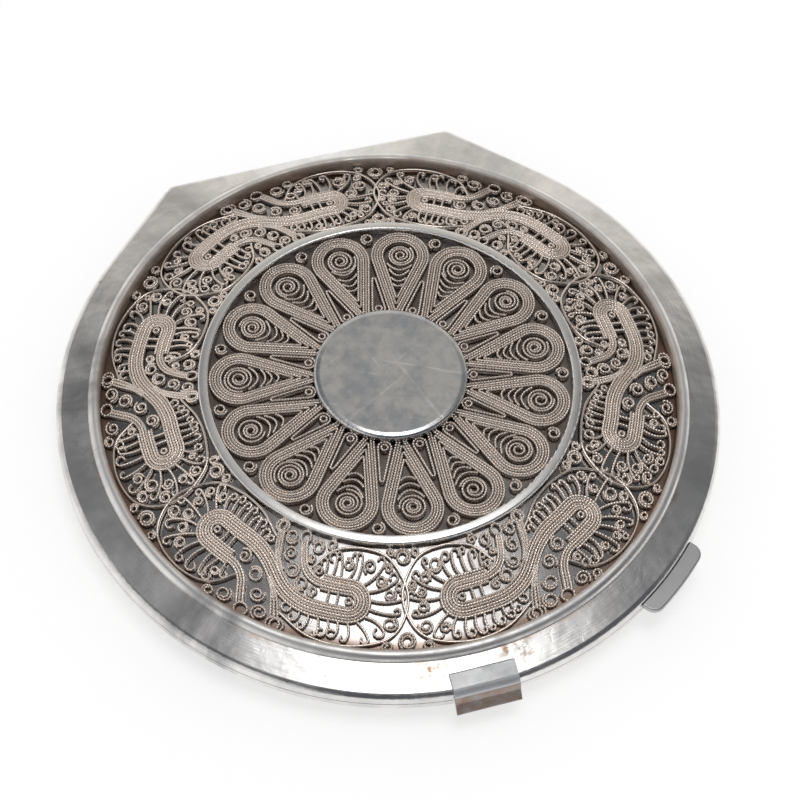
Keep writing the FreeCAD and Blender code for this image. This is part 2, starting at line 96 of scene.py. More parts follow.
class WireSettings(bpy.types.PropertyGroup):
    """Sizes of the beaded flat wire that all the filigree is wound from."""

    width: length("Width", "Thickness of the bundled strands seen from above", 0.31)
    fine: length("Fine width", "Thickness of the single wires that fill the gaps", 0.3)
    height: length("Height", "Height of the wire, which stands on edge", 0.7)
    pitch: length("Bead pitch", "Length of one bead along the wire", 0.34)
    dip: length("Bead dip", "How deep the notch between two beads is", 0.06)
    strand: length("Strand pitch", "Distance between neighbouring strands of a bundle", 0.3)
    plain: length("Plain width", "Thickness of the plain wires round the scrolls", 0.26)
    waist: number("Bead waist", "Share of the width lost between beads", 0.25)
    slant: number("Bead slant", "Turn of the beads across the wire, in radians", 2.6)
    steps: count("Steps", "Rings of points along one bead", 4, 3)


class BezelSettings(bpy.types.PropertyGroup):
    """Sizes of the bezel round the filigree."""

    wall: length("Wall", "Width of the bezel", 1.3)
    bead: length("Bead", "Height of the bead above the band", 0.85)
    outer_round: length("Outer round", "Width of the bead's rounded outer side", 0.85)
    inner_round: length("Inner round", "Radius of the bead's inner edge", 0.4)
    ledge: length("Ledge", "Width of the ledge that carries the lining", 0.9)
    ledge_height: length("Ledge height", "Thickness of that ledge", 0.4)
    step: length("Step", "Distance between the points of the section", 0.1)
    points: count("Points", "Points round the bezel", 288, 24)


class RosetteSettings(bpy.types.PropertyGroup):
    """Sizes of the petals round the centre disc."""

    phase: angle("Phase", "Bearing of the first petal", 22)
    gap: length("Gap", "Clearance round a petal", 0.06)
    ring_width: length("Ring width", "Width of the divider ring", 1.1)
    tuck: length("Tuck", "Depth of a petal's tip under the disc", 1.0)
    tip: length("Tip", "Radius of a petal's tip", 0.5)
    wraps: count("Wraps", "Strands in a petal's frame", 5, 1)
    eye: length("Eye", "Radius of the hole in the coil", 0.34)
    slack: length("Slack", "Gap where a coil is wound loosely", 0.22)
    rung_pitch: length("Rung pitch", "Distance between the crescents", 0.8)
    small_ring: length("Small ring", "Radius of the small coils at the divider", 0.75)
    loop: length("Loop", "Radius of the loops beside the disc", 0.72)


class ScrollSettings(bpy.types.PropertyGroup):
    """Sizes of the scrolled panels, drawn for a band of the given half width and scaled to the case's."""

    phase: angle("Phase", "Bearing of the first panel's middle", 107.3)
    band_half: length("Band half", "Half width of the band that the scroll is drawn for", 5.325)
    strands: count("Strands", "Strands in a scroll", 6, 2)
    leg_strands: count("Leg strands", "Strands in a leg", 3, 1)
    curl: length("Curl", "Radius of the scroll's curl", 1.4)
    slant: angle("Slant", "Slope of the scroll's middle", 38)
    bend: length("Bend", "Radius of the bend into the curl", 7.0)
    reach: length("Reach", "Straight run before and after the curl", 3.1)
    leg_bend: length("Leg bend", "Radius of the bend into the leg", 2.8)
    leg_angle: angle("Leg angle", "Turn of the leg towards the bezel", 65)
    tail_bend: length("Tail bend", "Radius of the bend of the pair of wires from the scroll's middle", 5.2)
    tail_angle: angle("Tail angle", "Turn of that pair of wires towards the bezel", 30)
    lash_pitch: length("Lash pitch", "Distance between the fine wires", 0.95)
    lash_curl: length("Lash curl", "Radius of the rings at the fine wires' ends", 0.37)
    end_ring: length("End ring", "Radius of the rings at the ends of the legs and tails", 0.62)
    coil: length("Coil", "Radius of the coils between the panels", 0.95)
    least_fill: length("Least fill", "Radius of the smallest curl that fills a gap", 0.46)
    most_fill: length("Most fill", "Radius of the largest curl that fills a gap", 0.8)


class SilverSettings(bpy.types.PropertyGroup):
    """Colours of the finishes."""

    bright: colour("Bright silver", "Clean polished silver", (0.88, 0.86, 0.83))
    satin: colour("Satin silver", "Worn silver of the disc", (0.74, 0.72, 0.69))
    cool: colour("Cool clouds", "Grey clouds on the disc", (0.44, 0.46, 0.49))
    lining: colour("Lining", "Tarnished sheet under the filigree", (0.43, 0.42, 0.41))
    wire: colour("Wire silver", "Crests of the filigree wire", (0.86, 0.765, 0.69))
    # Also the colour of the painted shade on the lining under the rosette
    patina: colour("Patina", "Dark brown in the wire's recesses", (0.12, 0.08, 0.06))
    tarnish: colour("Tarnish", "Brown stain along the bezel", (0.52, 0.42, 0.35))
    # Also the colour of the painted dark reflection at the rim's front left
    streak: colour("Streaks", "Grey streaks on the rim", (0.30, 0.30, 0.31))
    # Also the colour of the painted shade on the clip's face, and of the brown along the lining's edge
    dirt: colour("Dirt", "Brown dirt at the bezel's foot", (0.30, 0.20, 0.15))
    heat: colour("Heat stain", "Brown stain beside the clip", (0.26, 0.16, 0.10))
    pits: colour("Pits", "Dark pits in the far rim", (0.05, 0.04, 0.035))
    steel: colour("Cool grey", "Matte metal of the clip and the tab", (0.48, 0.48, 0.48))
    glass: colour("Mirror", "Silvered glass", (0.92, 0.93, 0.94))
    card: colour("Card", "Backing cards of the mirrors", (0.035, 0.026, 0.022))


class StudioSettings(bpy.types.PropertyGroup):
    """Camera and light."""

    distance: length("Distance", "From the case's middle to the camera", 204.58)
    elevation: angle("Elevation", "Height of the camera above the horizon", 57.42)
    azimuth: angle("Azimuth", "Bearing of the camera round the case", -18.57)
    roll: angle("Roll", "Turn of the camera about its line of sight", 2.88)
    lens: number("Lens", "Focal length of the camera", 81, unit="CAMERA")
    shift_x: number("Shift X", "Sideways shift of the picture", 0.01319)
    shift_y: number("Shift Y", "Upward shift of the picture", -0.004645)
    lamp_height: length("Lamp height", "Height of the softbox", 600)
    lamp_size: length("Lamp size", "Diameter of the round softbox", 300)
    lamp_x: length("Lamp X", "Sideways place of the softbox", 42)
    lamp_y: length("Lamp Y", "Place of the softbox towards the hinge", -6)
    lamp_power: number("Lamp power", "Power of the softbox", 0.75, unit="POWER")
    ambient: number("Ambient", "Strength of the soft surround", 0.62)
    floor: length("Floor", "Side of the floor", 4000)


# Paths in the plan, as arrays of points


def walk(place, moves, spacing=0.04 * MM):
    """Points along straight runs (length, 0) and arcs (radius, turn in radians; left is positive)."""
    x, y, heading = place
    stretches = [np.array([[x, y]])]
    for size, turn in moves:
        travel = size * abs(turn) if turn else size
        f = np.linspace(0, 1, max(2, int(travel / spacing)))[1:]
        if turn:
            side = math.copysign(size, turn)
            ahead = heading + turn * f
            px = x + side * (np.sin(ahead) - math.sin(heading))
            py = y - side * (np.cos(ahead) - math.cos(heading))
            heading += turn
        else:
            px, py = x + size * f * math.cos(heading), y + size * f * math.sin(heading)
        stretches.append(np.column_stack([px, py]))
        x, y = px[-1], py[-1]
    return np.concatenate(stretches)


def circle(center, radius):
    """Closed ring: center + radius (cos a, sin a)."""
    a = np.linspace(0, 2 * np.pi, 96)
    return center + radius * np.column_stack([np.cos(a), np.sin(a)])


def spiral(center, inner, outer, pitch, start=0.0, slack=()):
    """Flat coil: the radius grows by the pitch in each turn, and at some turns by a gap more.

    radius = inner + pitch a / 2 pi + sum of gap_k step(a / 2 pi - turn_k), where the step is smooth and
    takes half a turn.
    """
    turns = (outer - inner - sum(gap for turn, gap in slack)) / pitch
    a = np.linspace(0, 2 * np.pi * turns, max(24, int(64 * turns)))
    radius = inner + pitch * a / (2 * np.pi)
    for turn, gap in slack:
        rise = np.clip(2 * (a / (2 * np.pi) - turn), 0, 1)
        radius += gap * rise ** 2 * (3 - 2 * rise)
    return center + np.column_stack([radius * np.cos(a + start), radius * np.sin(a + start)])


def teardrop(bulb_x, bulb, tip_x, tip):
    """Closed outline of two circles on the X axis, bulb and tip, and their outer tangents."""
    toward = math.copysign(1, tip_x - bulb_x)
    lean = math.acos((bulb - tip) / abs(bulb_x - tip_x))
    round_bulb = np.linspace(lean, 2 * np.pi - lean, 90)
    round_tip = np.linspace(-lean, lean, 24)
    xs = [bulb_x + toward * bulb * np.cos(round_bulb), tip_x + toward * tip * np.cos(round_tip)]
    ys = [bulb * np.sin(round_bulb), tip * np.sin(round_tip)]
    points = np.column_stack([np.concatenate(xs), np.concatenate(ys)])
    return np.concatenate([points, points[:1]])


def through(points):
    """Smooth curve through a few points: Catmull-Rom spans with doubled ends."""
    p = np.asarray(points, float)
    p = np.concatenate([2 * p[:1] - p[1:2], p, 2 * p[-1:] - p[-2:-1]])
    f = np.linspace(0, 1, 40)[:, None, None]
    a, b, c, d = p[:-3], p[1:-2], p[2:-1], p[3:]
    spans = b + 0.5 * f * (c - a + f * (2 * a - 5 * b + 4 * c - d + f * (3 * (b - c) + d - a)))
    return spans.transpose(1, 0, 2).reshape(-1, 2)


def evenly(points, step, closed):
    """The same line with points at equal distances; a closed line has a whole number of steps."""
    run = np.concatenate([[0], np.cumsum(np.hypot(*np.diff(points, axis=0).T))])
    steps = max(4, int(round(run[-1] / step)))
    at = np.linspace(0, run[-1], steps + 1)
    if closed:
        at = at[:-1]
    return np.column_stack([np.interp(at, run, points[:, k]) for k in (0, 1)]), run[-1]


def normals(points, closed):
    """Unit vectors to the left of the line at each point."""
    if closed:
        along = np.roll(points, -1, axis=0) - np.roll(points, 1, axis=0)
    else:
        along = np.gradient(points, axis=0)
    along /= np.maximum(np.hypot(along[:, 0], along[:, 1]), 1e-12)[:, None]
    return np.column_stack([-along[:, 1], along[:, 0]])


def beside(points, offset):
    """Line set off to the left by a distance."""
    return points + offset * normals(points, False)


def turned(points, bearing):
    """Points turned round the case's axis by a bearing."""
    c, s = math.cos(bearing), math.sin(bearing)
    return points @ np.array([[c, s], [-s, c]])


# Wire: a section carried along a path

SECTION = np.array([
    (0.5, 0.0), (0.5, 0.74), (0.37, 0.95), (0.0, 1.0), (-0.37, 0.95), (-0.5, 0.74), (-0.5, 0.0),
])


def grid_faces(rows, columns, closed):
    """Triangles of a grid whose rows are rings of points; on a closed one the last row meets the first."""
    row = np.arange(rows if closed else rows - 1)[:, None]
    column = np.arange(columns)
    after, beyond = (row + 1) % rows, (column + 1) % columns
    a, b = row * columns + column, row * columns + beyond
    c, d = after * columns + beyond, after * columns + column
    return np.concatenate([np.stack([a, b, c], -1).reshape(-1, 3), np.stack([a, c, d], -1).reshape(-1, 3)])


class Wire:
    """One wire of the filigree: its path in the plan, its kind (strand, fine or plain) and how it lies."""

    def __init__(self, path, kind="strand", twist=1.0, closed=False, lift=0.0):
        self.path = path
        self.kind = kind
        self.twist = twist
        self.closed = closed
        self.lift = lift

    def along(self, path):
        """The same wire on another path."""
        return Wire(path, self.kind, self.twist, self.closed, self.lift)


def wire_surface(wire, sizes, level):
    """Vertices, triangles and crest values of a flat wire on edge.

    Point (i, j) is path_i + left_i * width * u_j * (1 - waist * (1 - bead_ij)), at height
    level(path_i) + lift - height * (1 - w_j) - dip * w_j^2 * (1 - bead_ij), where (u, w) is the section.
    bead_ij = (1 + cos(2 pi run_i / pitch + slant * twist * u_j + start)) / 2 rises once along each bead.
    """
    path, run = evenly(wire.path, sizes.pitch / sizes.steps, wire.closed)
    n, m = len(path), len(SECTION)
    left = normals(path, wire.closed)
    u, w = SECTION[:, 0], SECTION[:, 1]
    beads = max(1, round(run / sizes.pitch))
    phase = np.linspace(0, 2 * np.pi * beads, n, endpoint=not wire.closed)
    start = path[0].sum() / sizes.dip
    bead = 0.5 + 0.5 * np.cos(phase[:, None] + sizes.slant * wire.twist * u + start)
    if wire.kind == "plain":
        bead = np.ones_like(bead)
    width = {"strand": sizes.width, "fine": sizes.fine, "plain": sizes.plain}[wire.kind]
    across = width * u * (1 - sizes.waist * (1 - bead))
    xy = path[:, None] + left[:, None] * across[..., None]
    top = (level(path) + wire.lift)[:, None]
    z = top - sizes.height * (1 - w) - sizes.dip * w ** 2 * (1 - bead)
    vertices = np.concatenate([xy, z[..., None]], axis=2).reshape(-1, 3)
    crest = (w * (0.7 + 0.3 * bead)).ravel()
    faces = [grid_faces(n, m, wire.closed)]
    if not wire.closed:
        fan = np.arange(1, m - 1)
        cap = np.column_stack([np.zeros_like(fan), fan + 1, fan])
        faces += [cap, (n - 1) * m + cap[:, ::-1]]
    return vertices, np.concatenate(faces), crest


def joined(surfaces):
    """One surface from several."""
    offsets = np.cumsum([0] + [len(v) for v, f, c in surfaces[:-1]])
    vertices = np.concatenate([v for v, f, c in surfaces])
    faces = np.concatenate([f + k for (v, f, c), k in zip(surfaces, offsets)])
    return vertices, faces, np.concatenate([c for v, f, c in surfaces])


def new_piece(name, surface, body, replaced, material):
    """Mesh object from a surface, riding on a body in place of the nodes it stands for."""
    vertices, faces, crest = surface
    mesh = bpy.data.meshes.new(name)
    mesh.vertices.add(len(vertices))
    mesh.vertices.foreach_set("co", vertices.astype(np.float32).ravel())
    mesh.loops.add(faces.size)
    mesh.loops.foreach_set("vertex_index", faces.astype(np.int32).ravel())
    mesh.polygons.add(len(faces))
    mesh.polygons.foreach_set("loop_start", np.arange(0, faces.size, 3, dtype=np.int32))
    mesh.update(calc_edges=True)
    mesh.shade_smooth()
    mesh.attributes.new("crest", "FLOAT", "POINT").data.foreach_set("value", crest.astype(np.float32))
    mesh.materials.append(material)
    piece = bpy.data.objects.new(name, mesh)
    bpy.context.scene.collection.objects.link(piece)
    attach(piece, body)
    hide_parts(*replaced)


def filigree_piece(name, wires, level, replaced):
    """Piece of the lid wound from wires, in place of some of its nodes."""
    sizes = bpy.context.scene.compact_wire
    surface = joined([wire_surface(wire, sizes, level) for wire in wires])
    new_piece(name, surface, LID, replaced, named_material(wire_silver_material))


# Bezel


def quarter(center, width, height, start):
    """Quarter of an ellipse, clockwise: center + (width cos a, height sin a) from the start angle."""
    a = start - np.linspace(0, np.pi / 2, 16)
    return center + np.column_stack([width * np.cos(a), height * np.sin(a)])


def bezel_profile(sizes):
    """Closed section, radius and height: a ledge inside, a wall, and a bead that rounds off to the band."""
    low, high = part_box("bezel_ring")
    inner = BEZEL_RADIUS - sizes.wall
    ledge_top = low.z + sizes.ledge_height
    ledge_edge = np.array([[inner - sizes.ledge, low.z]])
    inner_center = np.array([inner + sizes.inner_round, high.z - sizes.inner_round])
    outer_center = np.array([BEZEL_RADIUS - sizes.outer_round, high.z - sizes.bead])
    return np.concatenate([
        ledge_edge, [[inner - sizes.ledge, ledge_top], [inner, ledge_top]],
        quarter(inner_center, sizes.inner_round, sizes.inner_round, np.pi),
        quarter(outer_center, sizes.outer_round, sizes.bead, np.pi / 2),
        [[BEZEL_RADIUS, low.z]], ledge_edge,
    ])


def ring_surface(profile, points):
    """Section turned round the axis: point (i, j) is (radius_j cos a_i, radius_j sin a_i, height_j)."""
    a = 2 * np.pi * np.arange(points)[:, None] / points
    radius, height = profile.T
    grid = [radius * np.cos(a), radius * np.sin(a), np.broadcast_to(height, (points, len(profile)))]
    vertices = np.stack(grid, axis=-1).reshape(-1, 3)
    return vertices, grid_faces(points, len(profile), True), np.ones(len(vertices))


# Rosette


def rosette_level(points):
    """The rosette's top is level."""
    return np.full(len(points), ROSETTE_TOP)


class PetalPlan:
    """Places of a petal that lies on the X axis, worked out from the disc and the divider ring."""

    def __init__(self, sizes):
        self.half_sector = math.pi / len(PETALS)
        self.reach = RING_RADIUS - sizes.ring_width - sizes.gap
        sine = math.sin(self.half_sector)
        self.bulb = self.reach * sine / (1 + sine) - sizes.gap
        self.bulb_x = self.reach - self.bulb
        self.tip_x = DISC_RADIUS - sizes.tuck + sizes.tip
        self.lean = math.asin((self.bulb - sizes.tip) / (self.bulb_x - self.tip_x))


def wrap_outline(plan, sizes, inset):
    """Teardrop of a petal moved inward: smaller bulb and tip, and a nearer tip once it is spent."""
    least_tip = 0.12 * MM
    bulb = plan.bulb - inset
    tip = max(sizes.tip - inset, least_tip)
    tip_x = plan.bulb_x - (bulb - tip) / math.sin(plan.lean)
    return teardrop(plan.bulb_x, bulb, tip_x, tip)


def rungs(plan, sizes, wire, band, rng):
    """Crescents between the sides of a petal, bowed towards its tip: x = x_k + sag (y / half)^2."""
    bulb_gap, apex_gap = 0.15 * MM, 1.2 * MM
    inner = plan.bulb - band
    apex = plan.bulb_x - inner / math.sin(plan.lean)
    x = plan.bulb_x - inner - bulb_gap
    wires = []
    while x > apex + apex_gap:
        half = (x - apex) * math.tan(plan.lean) + wire.width / 2
        y = np.linspace(-half, half, 40)
        sag = half * rng.uniform(0.45, 0.75)
        wires.append(Wire(np.column_stack([x + sag * (y / half) ** 2, y]), "fine"))
        x -= sizes.rung_pitch * rng.uniform(0.85, 1.1)
    return wires


def petal_wires(plan, sizes, wire, rng):
    """Frame of close wraps, a coil in the bulb with a loose turn or two, and crescents towards the tip."""
    wires = []
    for k in range(sizes.wraps):
        outline = wrap_outline(plan, sizes, wire.width / 2 + k * wire.strand)
        wires.append(Wire(outline, twist=1 - 2 * (k % 2), closed=True, lift=-rng.uniform(0, 0.06) * MM))
    band = (sizes.wraps - 1) * wire.strand + wire.width
    shift = rng.uniform(-0.08, 0.08, 2) * MM
    eye = np.array([plan.bulb_x, 0]) + shift
    outer = plan.bulb - band - wire.width / 2 - np.hypot(*shift)
    loose_turns = (1.0, 2.0), (2.6, 3.6)
    slack = [(rng.uniform(*turns), sizes.slack * rng.uniform(0.6, 1.2)) for turns in loose_turns]
    hole = sizes.eye * rng.uniform(0.8, 1.2)
    coil = spiral(eye, hole, outer, wire.strand, rng.uniform(0, 2 * math.pi), slack)
    wires.append(Wire(coil, lift=-rng.uniform(0, 0.05) * MM))
    return wires + rungs(plan, sizes, wire, band, rng)


def trim_wires(plan, sizes, wire):
    """Between two petals: a small coil at the divider, and a hairpin with a ring beside the disc."""
    coil_x = plan.reach - sizes.small_ring - wire.width / 2 - sizes.gap
    coil = spiral(np.array([coil_x, 0]), 0.42 * sizes.small_ring, sizes.small_ring, wire.strand)
    loop_x = DISC_RADIUS + sizes.loop
    hairpin = teardrop(loop_x, sizes.loop, plan.bulb_x - plan.bulb, 0.28 * sizes.loop)
    ring = circle(np.array([loop_x, 0]), sizes.loop / 2)
    return [Wire(coil), Wire(hairpin, closed=True), Wire(ring, closed=True)]


def turned_wires(wires, bearing):
    """The same wires turned round the case's axis."""
    return [w.along(turned(w.path, bearing)) for w in wires]


# Scrolled panels, drawn on a flat band: s along it, t outward, then bent round the case

BAND_MIDDLE = (RING_RADIUS + LINING_RADIUS) / 2
BAND_HALF = (LINING_RADIUS - RING_RADIUS) / 2
PANEL_HALF = math.pi * BAND_MIDDLE / len(PANELS)
FIRST_PANEL_SEED = 100


def dome_level(points):
    """The panels' top slopes straight from the rosette's level at the ring down to the bezel."""
    radius = np.hypot(points[:, 0], points[:, 1])
    share = np.clip((radius - RING_RADIUS) / (LINING_RADIUS - RING_RADIUS), 0, 1)
    edge = PANEL_LOW + bpy.context.scene.compact_wire.height
    return ROSETTE_TOP + share * (edge - ROSETTE_TOP)


def bent(points, bearing, hand):
    """Plan of points on the flat band: bearing - hand s / middle, and radius middle + t."""
    a = bearing - hand * points[:, 0] / BAND_MIDDLE
    radius = BAND_MIDDLE + points[:, 1]
    return np.column_stack([radius * np.cos(a), radius * np.sin(a)])


class ScrollPlan:
    """Lines of the right half of a panel's scroll on the flat band."""

    def __init__(self, sizes):
        scale = BAND_HALF / sizes.band_half
        curl, bend, reach = scale * sizes.curl, scale * sizes.bend, scale * sizes.reach
        run = [(curl / 2, 0), (bend, sizes.slant), (reach, 0)]
        self.half = walk((0, 0, -sizes.slant), run + [(curl, math.pi), (reach, 0)])
        end = self.half[-1]
        leg = walk((*end, math.pi), [(scale * sizes.leg_bend, -sizes.leg_angle), (2 * BAND_HALF, 0)])
        self.stop = BAND_HALF - 1.9 * sizes.end_ring
        self.leg = leg[leg[:, 1] < self.stop]
        root = math.pi - sizes.slant
        edge = scale * 0.5 * curl * np.array([math.sin(sizes.slant), math.cos(sizes.slant)])
        self.tails = []
        for share in (0.75, 1.25):
            turn = share * scale * sizes.tail_bend, -sizes.tail_angle
            tail = walk((*edge, root), [turn, (2 * BAND_HALF, 0)])
            self.tails.append(tail[tail[:, 1] < self.stop])
        self.curl = end + np.array([reach, -curl])
        self.slot = np.linspace(self.curl, self.curl - np.array([reach, 0]), 20)
        self.oval = through(scale * MM * np.array([
            (3.4, 1.9), (5.2, 4.15), (8.6, 4.95), (12.1, 4.0), (13.95, 0.4),
            (12.5, -3.5), (9.0, -4.9), (5.2, -4.8), (1.9, -3.4),
        ]))


def distance_to(line, start, headings):
    """How far rays from the start points run before they meet a line."""
    nearest, farthest, touch = 0.2 * MM, 9 * MM, 0.16 * MM
    far = np.linspace(nearest, farthest, 120)
    rays = start[:, None] + far[:, None] * np.column_stack([np.cos(headings), np.sin(headings)])[:, None]
    gaps = np.linalg.norm(rays[:, :, None] - line[None, None, ::3], axis=3).min(axis=2)
    return far[np.argmax(gaps < touch, axis=1)]


def lash(start, heading, reach, ring, bend, sweep):
    """Fine wire from the scroll: a run that bends a little and ends in a small open ring."""
    least_run = 0.2 * MM
    run = max(reach - 1.4 * ring, least_run)
    way = math.copysign(1, bend)
    moves = [(run / abs(bend), bend), (ring, way * sweep)]
    return Wire(walk((*start, heading - bend / 2), moves), "fine", twist=way)


def lashes(plan, sizes, strand, rng):
    """Fine wires from the outer side of the scroll to the oval round it."""
    side = beside(plan.half, -sizes.strands * strand / 2)
    starts = evenly(side[len(side) // 6:], sizes.lash_pitch, False)[0]
    out = -normals(starts, False)
    headings = np.arctan2(out[:, 1], out[:, 0]) + rng.uniform(-0.2, 0.2, len(starts))
    least_reach = 0.7 * MM
    wires = []
    for start, heading, reach in zip(starts, headings, distance_to(plan.oval, starts, headings)):
        if reach > least_reach:
            bend = rng.uniform(0.25, 1.0) * (1 if math.sin(heading) > -0.4 else -1)
            ring = sizes.lash_curl * rng.uniform(0.7, 1.3)
            run = reach * rng.uniform(0.9, 1.0)
            wires.append(lash(start, heading, run, ring, bend, rng.uniform(3.4, 5.4)))
    return wires


def fill_curl(center, radius, start, inner):
    """Small open curl that fills a gap: a coil from a share of its radius outward."""
    turns = 1.5
    return spiral(center, inner * radius, radius, radius * (1 - inner) / turns, start)


def fill_wires(taken, sizes, wire, rng):
    """Curls in the gaps of a panel: again and again at the spot that is farthest from all wires."""
    grid = 0.2 * MM
    along, out = np.arange(-PANEL_HALF, PANEL_HALF, grid), np.arange(-BAND_HALF, BAND_HALF, grid)
    spots = np.stack(np.meshgrid(along, out), axis=-1).reshape(-1, 2)
    room = np.minimum(PANEL_HALF - np.abs(spots[:, 0]), BAND_HALF - np.abs(spots[:, 1]))
    for path in taken:
        near = evenly(path, grid, False)[0]
        gaps = np.linalg.norm(spots[:, None] - near[None], axis=2).min(axis=1)
        room = np.minimum(room, gaps - wire.width / 2)
    wires = []
    while room.max() > sizes.least_fill:
        center, radius = spots[room.argmax()], min(room.max(), sizes.most_fill)
        room = np.minimum(room, np.hypot(*(spots - center).T) - radius - wire.fine / 2)
        path = fill_curl(center, radius, rng.uniform(0, 2 * math.pi), rng.uniform(0.2, 0.55))
        wires.append(Wire(path, "fine", lift=-rng.uniform(0, 0.14) * MM))
    return wires


def end_ring(line, radius):
    """Ring at the end of a line, touching it."""
    ahead = line[-1] - line[-2]
    return Wire(circle(line[-1] + 0.9 * radius * ahead / np.hypot(*ahead), radius), closed=True)


def half_wires(plan, sizes, wire, rng):
    """Right half of a panel but for its scroll and fill, with two bars across the curl's slot."""
    eye = 0.3 * MM
    bars = 7, 13
    wires = [Wire(plan.oval, "plain"), Wire(circle(plan.curl, eye), "fine", closed=True)]
    wires += [Wire(beside(tail, way * wire.strand / 2)) for tail in plan.tails for way in (1, -1)]
    wires += [end_ring(line, sizes.end_ring) for line in (plan.leg, *plan.tails)]
    slot = np.array([0, plan.half[-1][1] - plan.curl[1] - (sizes.strands - 1) * wire.strand / 2])
    for k in bars:
        wires.append(Wire(np.array([plan.slot[k] - slot, plan.slot[k] + slot]), "fine"))
    return wires + lashes(plan, sizes, wire.strand, rng)


def scroll_wires(plan, sizes, wire, rng):
    """Strands of the scroll through both halves; the middle ones go on into the legs."""
    short = np.concatenate([-plan.half[::-1], plan.half[1:]])
    arm = np.concatenate([plan.half, plan.leg[1:]])
    long = np.concatenate([-arm[::-1], arm[1:]])
    first_leg = (sizes.strands - sizes.leg_strands) // 2
    wires = []
    for k in range(sizes.strands):
        line = long if first_leg <= k < first_leg + sizes.leg_strands else short
        offset = (k - (sizes.strands - 1) / 2) * wire.strand
        wires.append(Wire(beside(line, offset), twist=1 - 2 * (k % 2), lift=-rng.uniform(0, 0.05) * MM))
    return wires


def panel_wires(sizes, wire, rng):
    """A panel's wires on the flat band; a half's wires are turned by half a turn for the other half."""
    plan = ScrollPlan(sizes)
    wires = scroll_wires(plan, sizes, wire, rng)
    for way in (1, -1):
        wires += [w.along(way * w.path) for w in half_wires(plan, sizes, wire, rng)]
    corner = np.array([PANEL_HALF, BAND_HALF - sizes.coil])
    corners = [circle(corner * way, sizes.coil) for way in ((1, 1), (1, -1), (-1, 1), (-1, -1))]
    taken = [w.path for w in wires] + [plan.slot, -plan.slot] + corners
    return wires + fill_wires(taken, sizes, wire, rng)


def corner_wires(sizes, wire):
    """The two coils between a pair of panels, at the bezel and at the divider ring, on the X axis."""
    clearance = 0.05 * MM
    wires = []
    for x, share in ((LINING_RADIUS, 1.0), (RING_RADIUS, 0.92)):
        radius = share * sizes.coil
        reach = radius + wire.width / 2 + clearance
        center = np.array([x - reach if x > BAND_MIDDLE else x + reach, 0])
        wires.append(Wire(spiral(center, 0.4 * radius, radius, wire.strand)))
    return wires


# Shader building


def node(tree, kind, inputs=None, **settings):
    """New node with its settings, and values or links for its inputs."""
    made = tree.nodes.new(kind)
    for name, value in settings.items():
        setattr(made, name, value)
    for key, value in (inputs or {}).items():
        if isinstance(value, bpy.types.NodeSocket):
            tree.links.new(value, made.inputs[key])
        else:
            made.inputs[key].default_value = value
    return made


def maths(tree, operation, *values):
    return node(tree, "ShaderNodeMath", dict(enumerate(values)), operation=operation).outputs[0]


def times(tree, first, second):
    return maths(tree, "MULTIPLY", first, second)


def ramp(tree, value, low, high, to_low=0.0, to_high=1.0):
    """Smooth step of a value between two limits."""
    inputs = {"Value": value, "From Min": low, "From Max": high, "To Min": to_low, "To Max": to_high}
    return node(tree, "ShaderNodeMapRange", inputs, interpolation_type="SMOOTHSTEP").outputs[0]


def blended(tree, factor, first, second):
    """Colour between two colours."""
    made = node(tree, "ShaderNodeMix", data_type="RGBA")
    for key, value in ((0, factor), (6, first), (7, second)):
        if isinstance(value, bpy.types.NodeSocket):
            tree.links.new(value, made.inputs[key])
        else:
            made.inputs[key].default_value = (*value, 1.0) if key else value
    return made.outputs[2]


def noise(tree, vector, scale, detail=4.0, roughness=0.55):
    inputs = {"Vector": vector, "Scale": scale, "Detail": detail, "Roughness": roughness}
    return node(tree, "ShaderNodeTexNoise", inputs).outputs["Fac"]


def new_group(name, inputs, outputs):
    """Empty shader group with named sockets, and its inside ends."""
    tree = bpy.data.node_groups.new(name, "ShaderNodeTree")
    for socket, kind, value in inputs:
        made = tree.interface.new_socket(socket, in_out="INPUT", socket_type=kind)
        if value is not None:
            made.default_value = value
    for socket, kind in outputs:
        tree.interface.new_socket(socket, in_out="OUTPUT", socket_type=kind)
    return tree, tree.nodes.new("NodeGroupInput").outputs, tree.nodes.new("NodeGroupOutput").inputs


def round_the_case_group(name):
    """Shader group: distance from the case's axis, and length along its rim."""
    tree, given, result = new_group(
        name, [("Vector", "NodeSocketVector", None)],
        [("Radius", "NodeSocketFloat"), ("Along", "NodeSocketFloat")])
    x, y = node(tree, "ShaderNodeSeparateXYZ", {0: given["Vector"]}).outputs[:2]
    squares = maths(tree, "ADD", maths(tree, "POWER", x, 2.0), maths(tree, "POWER", y, 2.0))
    tree.links.new(maths(tree, "SQRT", squares), result["Radius"])
    tree.links.new(times(tree, maths(tree, "ARCTAN2", y, x), CASE_RADIUS), result["Along"])
    return tree


def clouds_group(name):
    """Shader group: soft-edged patches, for tarnish, stains and wear."""
    tree, given, result = new_group(
        name, [("Vector", "NodeSocketVector", None), ("Scale", "NodeSocketFloat", 200.0),
               ("Cover", "NodeSocketFloat", 0.5), ("Softness", "NodeSocketFloat", 0.15)],
        [("Mask", "NodeSocketFloat")])
    value = noise(tree, given["Vector"], given["Scale"], 6.0, 0.6)
    edge = maths(tree, "SUBTRACT", 1.0, given["Cover"])
    low = maths(tree, "SUBTRACT", edge, given["Softness"])
    high = maths(tree, "ADD", edge, given["Softness"])
    tree.links.new(ramp(tree, value, low, high), result["Mask"])
    return tree


